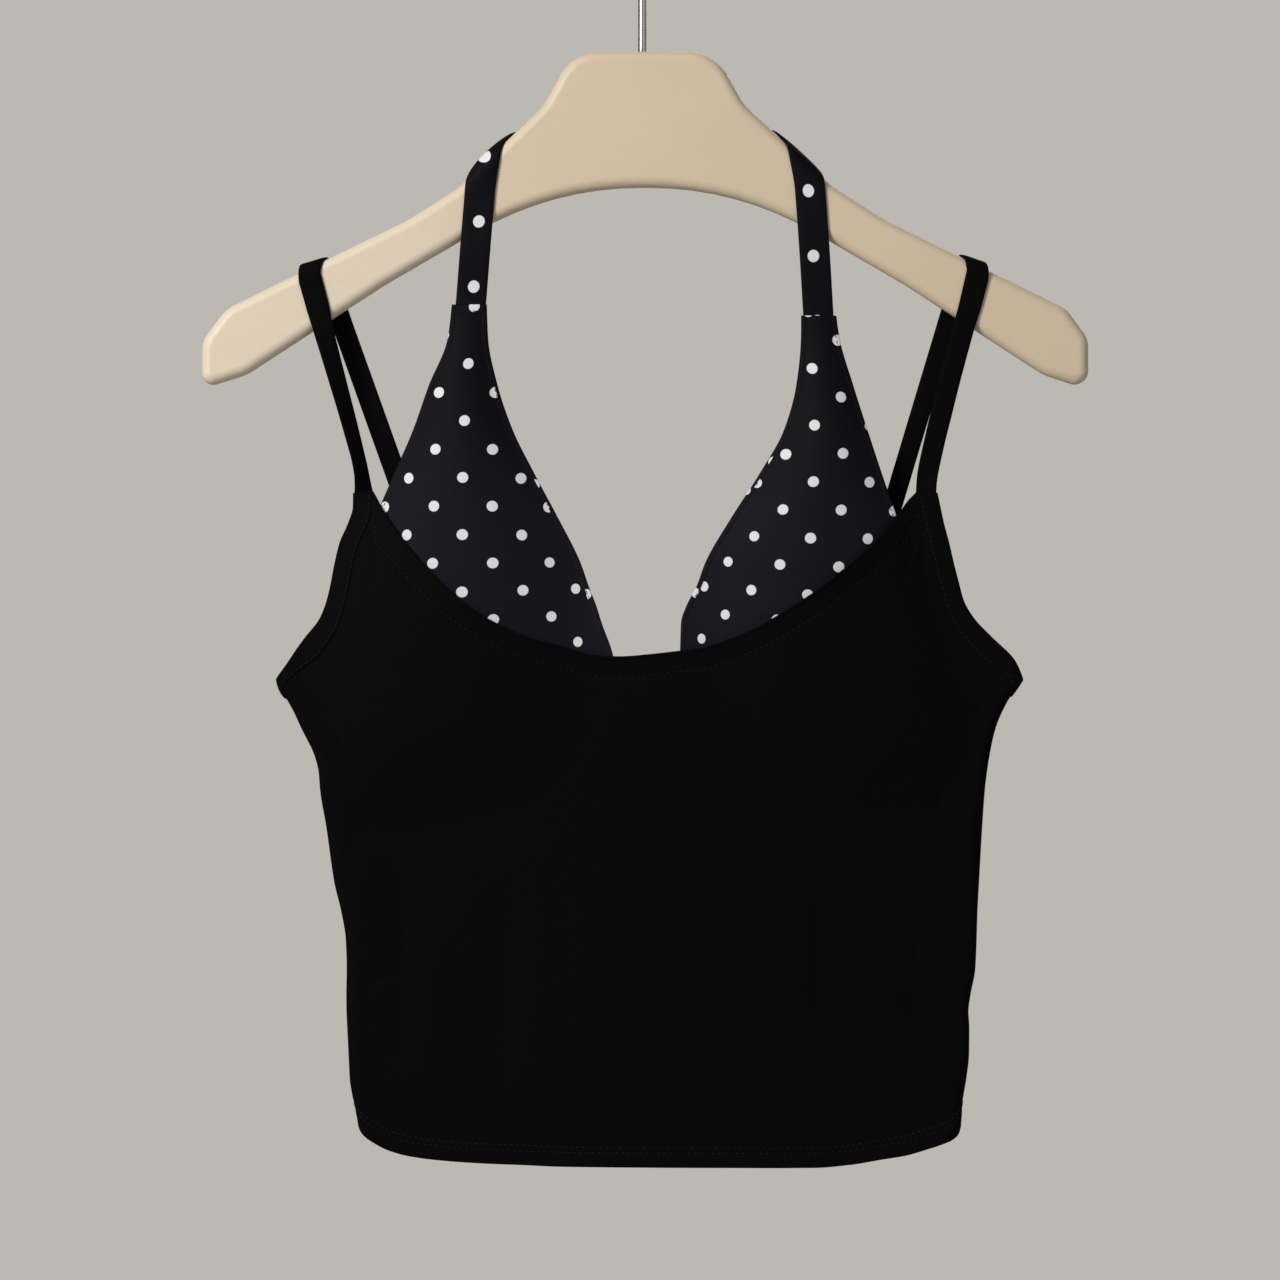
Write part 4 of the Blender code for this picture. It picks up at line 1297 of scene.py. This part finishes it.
def shoulder_strap(strap, finish):
    edge = Edge(strap.side, *HANGER_CORNERS[strap.side][3:5])
    seat_x = (NECK_HALF + STRAP_SEAT_END) / 2
    back_drop = float(smooth_through(BACK_TOP, "drop", strap.back_seat_x))
    clear = STRAP_THICKNESS / 2 + STRAP_REST
    tucked = (JERSEY + STRAP_THICKNESS) / 2 + 0.1
    front_seat = edge.flat(seat_x, STRAP_SEAT_DROP + STRAP_TUCK)
    front_edge = edge.crossing(strap.front_x)
    back_edge = edge.crossing(strap.back_x, behind=True)
    back_seat = edge.flat(strap.back_seat_x, back_drop + STRAP_TUCK, behind=True)
    front_lift = wall_middle(front_surface, strap.side * seat_x, STRAP_SEAT_DROP) - tucked
    back_lift = wall_middle(back_surface, strap.side * strap.back_seat_x, back_drop) - tucked
    level = np.array((edge.out[0], edge.up[0]))
    square = np.array((1.0, 0.0))
    front_width = STRAP_HANG[-1].left_width

    def station(row):
        """Flat place, side direction, height of the strap's middle over the hanger, width and turn."""
        if 1 <= row < 2:
            over = row - 1
            width = mix(front_width, strap.back_width, ease(over))
            crest = math.sin(math.pi * over)
            return (*mix(front_edge, back_edge, over), *square, clear, width, 0.0, crest, row)
        if row < 1:
            up = row
            centre = mix(front_seat, front_edge, up) - level * sided(STRAP_HANG, "_bow", strap.side, up)
            beside = level
            middle = mix(front_lift, clear, ease(up / FLAT_FROM["front"]))
            seen = float(sided(STRAP_HANG, "_width", strap.side, up))
            width = max(seen, STRAP_FLAT_WIDTH)
            turn = math.acos(min(1.0, (seen - 0.35 * (1 - seen / width)) / width))
        else:
            up = 3 - row
            centre = mix(back_seat, back_edge, up)
            beside = np.array((level[0], -level[1]))
            middle = mix(back_lift, clear, ease(up / FLAT_FROM["behind"]))
            width, turn = strap.back_width, 0.0
        beside = mix(beside, square, ease(1 - (1 - up) / SQUARE_TO_EDGE))
        return (*centre, *beside, middle, width, turn, 0.0, row)

    rows = np.concatenate((even(80), even(36, 1.0, 2.0)[1:], even(90, 2.0, 3.0)[1:]))
    stations = np.array([station(row) for row in rows], float)
    steps = np.hypot(*np.diff(stations[:, :2], axis=0).T)
    stations[:, 8] = np.concatenate(([0.0], np.cumsum(steps)))

    def place(column, row, depth):
        width, turn, crest = row[:, 5], row[:, 6], row[:, 7]
        across, outward = tube_section(column, depth, width, STRAP_THICKNESS)
        offset = across * np.cos(turn) - outward * np.sin(turn)
        outer = 0.5 + across / width
        lift = row[:, 4] + across * np.sin(turn) + outward * np.cos(turn) + strap.stand * outer * crest
        drawn = strap.tip * (1 - outer) ** 2 * crest + STRAP_CORNER * outer**4 * crest**2
        along = row[:, 0] + row[:, 2] * offset - drawn
        return edge.place(along, row[:, 1] + row[:, 3] * offset, lift)

    def pattern(column, row):
        return np.stack((column * 20.0, row[:, 8]), axis=1) * MM

    name = "camisole_strap_" + side_name(strap.side)
    return cloth(name, tube_turns(28), stations, place, pattern, finish, tube=True)


Half = namedtuple("Half", "edge heading crossing hanging beyond")


def halter_strap(finish):
    """One flat strip, wrapped without stretch over both slopes, from cup to cup behind the neck."""
    halves = {}
    for side in (LEFT, RIGHT):
        edge = Edge(side, *HANGER_CORNERS[side][1:3])
        heading = np.array((-edge.out[0], edge.up[0]))
        crossing = edge.crossing(HALTER_CROSSING_X)
        down = -(edge.out * heading[0] + edge.up * heading[1])
        end_drop = CUP_APEX[side] + HALTER_TUCK - HALTER_STRAP_WIDTH / 2 * abs(down[0])
        crossing_drop = -(edge.start + edge.out * crossing[0])[1]
        hanging = (end_drop - crossing_drop) / -down[1]
        past_edge = crossing + heading * (edge.wrap / heading[1])
        behind_x = (edge.start + edge.out * past_edge[0])[0]
        halves[side] = Half(edge, heading, crossing, hanging, edge.wrap / heading[1] + behind_x)
    clear = STRAP_REST + STRAP_THICKNESS / 2
    dotted_length = sum(
        half.hanging + half.beyond - STRAP_FIRST_DOT[side] + STRAP_DOT_DRAW[side]
        for side, half in halves.items()
    )
    dots = dotted_length / DOT_PITCH_STRAP
    evened = (round(dots) - dots) / 2 * DOT_PITCH_STRAP

    def gone_of(side, row):
        return mix(halves[side].beyond, -halves[side].hanging, row * side)

    def place(column, row, depth):
        across, outward = tube_section(column, depth, HALTER_STRAP_WIDTH, STRAP_THICKNESS)
        made = []
        for side in (LEFT, RIGHT):
            edge, heading, crossing, hanging, _ = halves[side]
            gone = gone_of(side, row)
            hang = np.clip(-gone / hanging, 0.0, 1.0)
            inward = HALTER_SINK * ease((hang - HALTER_SINKS_FROM) / HALTER_SINKS_OVER)
            along = crossing[0] + heading[0] * gone + heading[1] * across
            over = crossing[1] + heading[1] * gone - heading[0] * across
            outer = 0.5 + across / HALTER_STRAP_WIDTH
            crest = ease(over / edge.wrap + 0.5) * ease(1.5 - over / edge.wrap)
            along = along - HALTER_TIP[side] * (1 - outer) * crest
            stand = HALTER_STAND[side] * 4 * outer * (1 - outer) * crest
            points = edge.place(along, over, clear + outward - inward + stand)
            points[:, 0] += HALTER_LEAN[side] * hang + HALTER_BOW[side] * np.sin(math.pi * hang)
            made.append(points)
        return mix(made[0], made[1], ease(0.5 + row / HALTER_JOINED)[:, None])

    def pattern(column, row):
        across, _ = tube_section(column, 0.0, HALTER_STRAP_WIDTH, STRAP_THICKNESS)
        side = np.where(row < 0, LEFT, RIGHT)
        from_end = np.where(row < 0, *(gone_of(end, row) + halves[end].hanging for end in (LEFT, RIGHT)))
        first = np.where(row < 0, STRAP_FIRST_DOT[LEFT], STRAP_FIRST_DOT[RIGHT])
        draw = np.where(row < 0, STRAP_DOT_DRAW[LEFT], STRAP_DOT_DRAW[RIGHT])
        drawn = draw * ease((from_end - DRAWN_FROM) / DRAWN_OVER)
        drawn += evened * ease((from_end - EVENED_FROM) / EVENED_OVER)
        around = -side * (across + STRAP_DOT_INSET)
        return np.stack((around / DOT_PITCH_ACROSS, (from_end + drawn - first) / DOT_PITCH_STRAP), axis=1)

    half = np.concatenate((even(26, 0.0, 0.32), even(90, 0.32, 0.66)[1:], even(40, 0.66, 1.0)[1:]))
    rows = np.concatenate((-half[:0:-1], half))
    return cloth("bra_halter_strap", tube_turns(36), rows, place, pattern, finish, tube=True)


# The hanger


def rounded_outline(corners, step=math.radians(4)):
    """A closed outline with each corner replaced by an arc of its own radius."""
    outline = []
    places = [Vector((corner.x, -corner.drop)) for corner in corners]
    for i, corner in enumerate(corners):
        here = places[i]
        heading = (here - places[i - 1]).normalized()
        leaving = (places[(i + 1) % len(places)] - here).normalized()
        turn = math.atan2(heading.cross(leaving), heading.dot(leaving))
        bend = math.copysign(corner.radius, turn)
        start = here - heading * corner.radius * math.tan(abs(turn) / 2)
        centre = start + Vector((-heading.y, heading.x)) * bend
        for angle in even(max(3, math.ceil(abs(turn) / step)), 0.0, turn):
            outline.append(centre + Matrix.Rotation(angle, 2) @ (start - centre))
    return outline


def curve_mesh(name, curve):
    """A curve's surface as a mesh, with the curve removed."""
    holder = bpy.data.objects.new(name + "_curve", curve)
    bpy.context.scene.collection.objects.link(holder)
    bpy.context.view_layer.update()
    mesh = bpy.data.meshes.new_from_object(holder.evaluated_get(bpy.context.evaluated_depsgraph_get()))
    bpy.data.objects.remove(holder)
    bpy.data.curves.remove(curve)
    mesh.name = name
    return mesh


def poly_curve(name, points, closed):
    curve = bpy.data.curves.new(name, "CURVE")
    spline = curve.splines.new("POLY")
    spline.points.add(len(points) - 1)
    for made, place in zip(spline.points, points):
        made.co = (*(value * MM for value in place), 1.0)
    spline.use_cyclic_u = closed
    return curve


def hanger_body(finish):
    """The outline is filled, given its thickness, rounded all round and stood up."""
    left = [Corner(-corner.x, corner.drop, corner.radius) for corner in HANGER_CORNERS[LEFT][::-1]]
    outline = rounded_outline([*HANGER_CORNERS[RIGHT], *left])
    curve = poly_curve("hanger_body", [(x, z, 0.0) for x, z in outline], closed=True)
    curve.dimensions = "2D"
    curve.fill_mode = "BOTH"
    curve.extrude = (HANGER_THICKNESS / 2 - HANGER_EDGE) * MM
    curve.bevel_depth = HANGER_EDGE * MM
    curve.bevel_resolution = HANGER_EDGE_STEPS
    curve.offset = -HANGER_EDGE * MM
    mesh = curve_mesh("hanger_body", curve)
    mesh.transform(Matrix.Translation((0.0, 0.0, -HOOK_RISE * MM)) @ Matrix.Rotation(math.pi / 2, 4, "X"))
    bm = bmesh.new()
    bm.from_mesh(mesh)
    bmesh.ops.remove_doubles(bm, verts=bm.verts[:], dist=0.00001)
    for face in bm.faces:
        face.smooth = abs(face.normal.y) < 0.9999
    bm.to_mesh(mesh)
    bm.free()
    return add_piece("hanger_body", mesh, finish)


def hook_wire(finish):
    """A round bight, a reverse bend and a stem that goes into the hanger's top edge."""
    centre = (0.0, -(HOOK_RADIUS - WIRE / 2))
    route = [
        (centre[0] + HOOK_RADIUS * math.cos(angle), centre[1] + HOOK_RADIUS * math.sin(angle))
        for angle in even(72, HOOK_START, HOOK_END)
    ]
    reach = math.cos(HOOK_END)
    bend = (HOOK_RADIUS * reach - STEM_X) / (1 - reach)
    bend_centre = (STEM_X + bend, route[-1][1] + bend * math.sin(HOOK_END))
    for angle in even(24, math.pi + HOOK_END, math.pi)[1:]:
        route.append((bend_centre[0] + bend * math.cos(angle), bend_centre[1] + bend * math.sin(angle)))
    foot = -(HOOK_RISE + STEM_SUNK)
    route += [(STEM_X, mix(route[-1][1], foot, part)) for part in even(8)[1:]]
    curve = poly_curve("hook_wire", [(x, 0.0, z) for x, z in route], closed=False)
    curve.dimensions = "3D"
    curve.bevel_depth = WIRE / 2 * MM
    curve.bevel_resolution = 6
    curve.use_fill_caps = True
    mesh = curve_mesh("hook_wire", curve)
    bm = bmesh.new()
    bm.from_mesh(mesh)
    bmesh.ops.remove_doubles(bm, verts=bm.verts[:], dist=0.00001)
    tip = [edge for edge in bm.edges if edge.is_manifold and edge.calc_face_angle(0.0) > math.radians(60)]
    rounding = TIP_ROUNDING * MM
    bmesh.ops.bevel(bm, geom=tip, offset=rounding, segments=4, profile=0.5, affect="EDGES", material=-1)
    for face in bm.faces:
        face.smooth = True
    bm.to_mesh(mesh)
    bm.free()
    return add_piece("hook_wire", mesh, finish)


# Putting it together

knit = knit_group()
jersey = black_jersey(knit)
dotted = dotted_jersey(knit, dots_group())
thread = sewing_thread()
lacquer = cream_lacquer()
steel = plated_wire()

front_place, front_pattern = body_place(front_cloth, NECK_FLARE_HALF)
columns = front_columns()
front = cloth("camisole_front", columns, body_rows(96), front_place, front_pattern, jersey)
front_seams = [top_seam(columns, front_cloth, FACING_WIDTH, NECK_FLARE_HALF)]
front_seams += [hem_seam(front_cloth, line) for line in HEM_ROWS]

back_place, back_pattern = body_place(back_cloth, 0.0)
columns = back_columns()
back = cloth("camisole_back", columns, body_rows(72), back_place, back_pattern, jersey)
back_seams = [top_seam(columns, back_cloth, FACING_WIDTH, 0.0)]
back_seams += [hem_seam(back_cloth, line) for line in HEM_ROWS]

bindings = []
for side in (LEFT, RIGHT):
    made, row = binding(side, jersey)
    bindings.append(made)
    front_seams.append(row)
    inner, outer = NECK_HALF + SEAT_ROW_INSET, STRAP_SEAT_END - SEAT_ROW_INSET
    seat = np.linspace(side * inner, side * outer, SEAT_ROW_POINTS)
    for from_top in SEAT_ROWS:
        drop = np.full(len(seat), STRAP_SEAT_DROP + from_top)
        front_seams.append(seam(front_cloth, seat, drop, SEAT_STITCH_LIFT))

for strap in SHOULDER_STRAPS:
    across = np.linspace(-BACK_SEAT_HALF, BACK_SEAT_HALF, SEAT_ROW_POINTS)
    seat = strap.side * (strap.back_seat_x + across)
    drop = smooth_through(BACK_TOP, "drop", np.abs(seat))
    back_seams.append(seam(back_cloth, seat, drop + BACK_SEAT_ROW, SEAT_STITCH_LIFT))

front_stitching = stitches("camisole_front_stitching", front_seams, thread)
back_stitching = stitches("camisole_back_stitching", back_seams, thread)

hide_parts("front_panel")
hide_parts("back_panel")
for made, side in zip(bindings, (LEFT, RIGHT)):
    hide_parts("armhole_band_" + side_name(side))

straps = []
for strap in SHOULDER_STRAPS:
    made = shoulder_strap(strap, jersey)
    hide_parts("shoulder_strap_" + side_name(strap.side))
    straps.append(made)

cups = []
for side in (LEFT, RIGHT):
    made, seams = cup(side, dotted, jersey)
    sewing = stitches("bra_cup_stitching_" + side_name(side), seams, thread)
    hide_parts("cup_" + side_name(side))
    cups.append((made, sewing))

halter = halter_strap(dotted)
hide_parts("halter_strap")
body = hanger_body(lacquer)
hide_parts("hanger")
wire = hook_wire(steel)
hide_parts("hanger_hook")

for made in (front, back, front_stitching, back_stitching, *bindings, *straps):
    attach(made, "root")
for made in (halter, *(cup_made for cup_made, _ in cups), *(sewing for _, sewing in cups)):
    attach(made, "root")
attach(body, "root")
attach(wire, "root")

# Camera, light and floor

camera = bpy.data.objects.new("camera", bpy.data.cameras.new("camera"))
bpy.context.scene.collection.objects.link(camera)
camera.location = (-0.0023, -2.2, -0.3475)
camera.rotation_euler = (math.pi / 2, 0.0, 0.0)
camera.data.lens = 137.0
camera.data.sensor_width = 36.0
camera.data.clip_end = 30.0
bpy.context.scene.camera = camera


def soft_light(name, location, aim, size, watts, colour):
    lamp = bpy.data.lights.new(name, "AREA")
    lamp.size = size
    lamp.energy = watts
    lamp.color = colour
    made = bpy.data.objects.new(name, lamp)
    made.location = location
    made.rotation_euler = (Vector(aim) - Vector(location)).to_track_quat("-Z", "Y").to_euler()
    bpy.context.scene.collection.objects.link(made)


middle = (0.0, 0.0, -0.3)
soft_light("window", (-1.25, -1.35, 0.5), middle, 0.75, 34.3, (1.0, 0.985, 0.955))
soft_light("fill", (1.5, -1.6, 0.1), middle, 1.6, 5.0, (0.97, 0.98, 1.0))
soft_light("behind", (0.6, 1.9, 0.9), middle, 1.5, 12.0, (1.0, 1.0, 1.0))

bpy.context.scene.view_settings.view_transform = "Standard"
world = bpy.data.worlds.new("studio")
world.use_nodes = True
bpy.context.scene.world = world
tree = world.node_tree
background = tree.nodes["Background"]
seen = add_node(tree, "ShaderNodeLightPath")
colour = mix_colour(tree, seen.outputs["Is Camera Ray"], (0.22, 0.22, 0.215), (0.503, 0.480, 0.447))
tree.links.new(colour, background.inputs["Color"])

floor_mesh = bpy.data.meshes.new("floor")
bm = bmesh.new()
below = Matrix.Translation((0.0, 0.0, -1.5))
bmesh.ops.create_grid(bm, x_segments=1, y_segments=1, size=1.6, matrix=below)
bm.to_mesh(floor_mesh)
bm.free()
floor = add_piece("floor", floor_mesh, pale_floor())
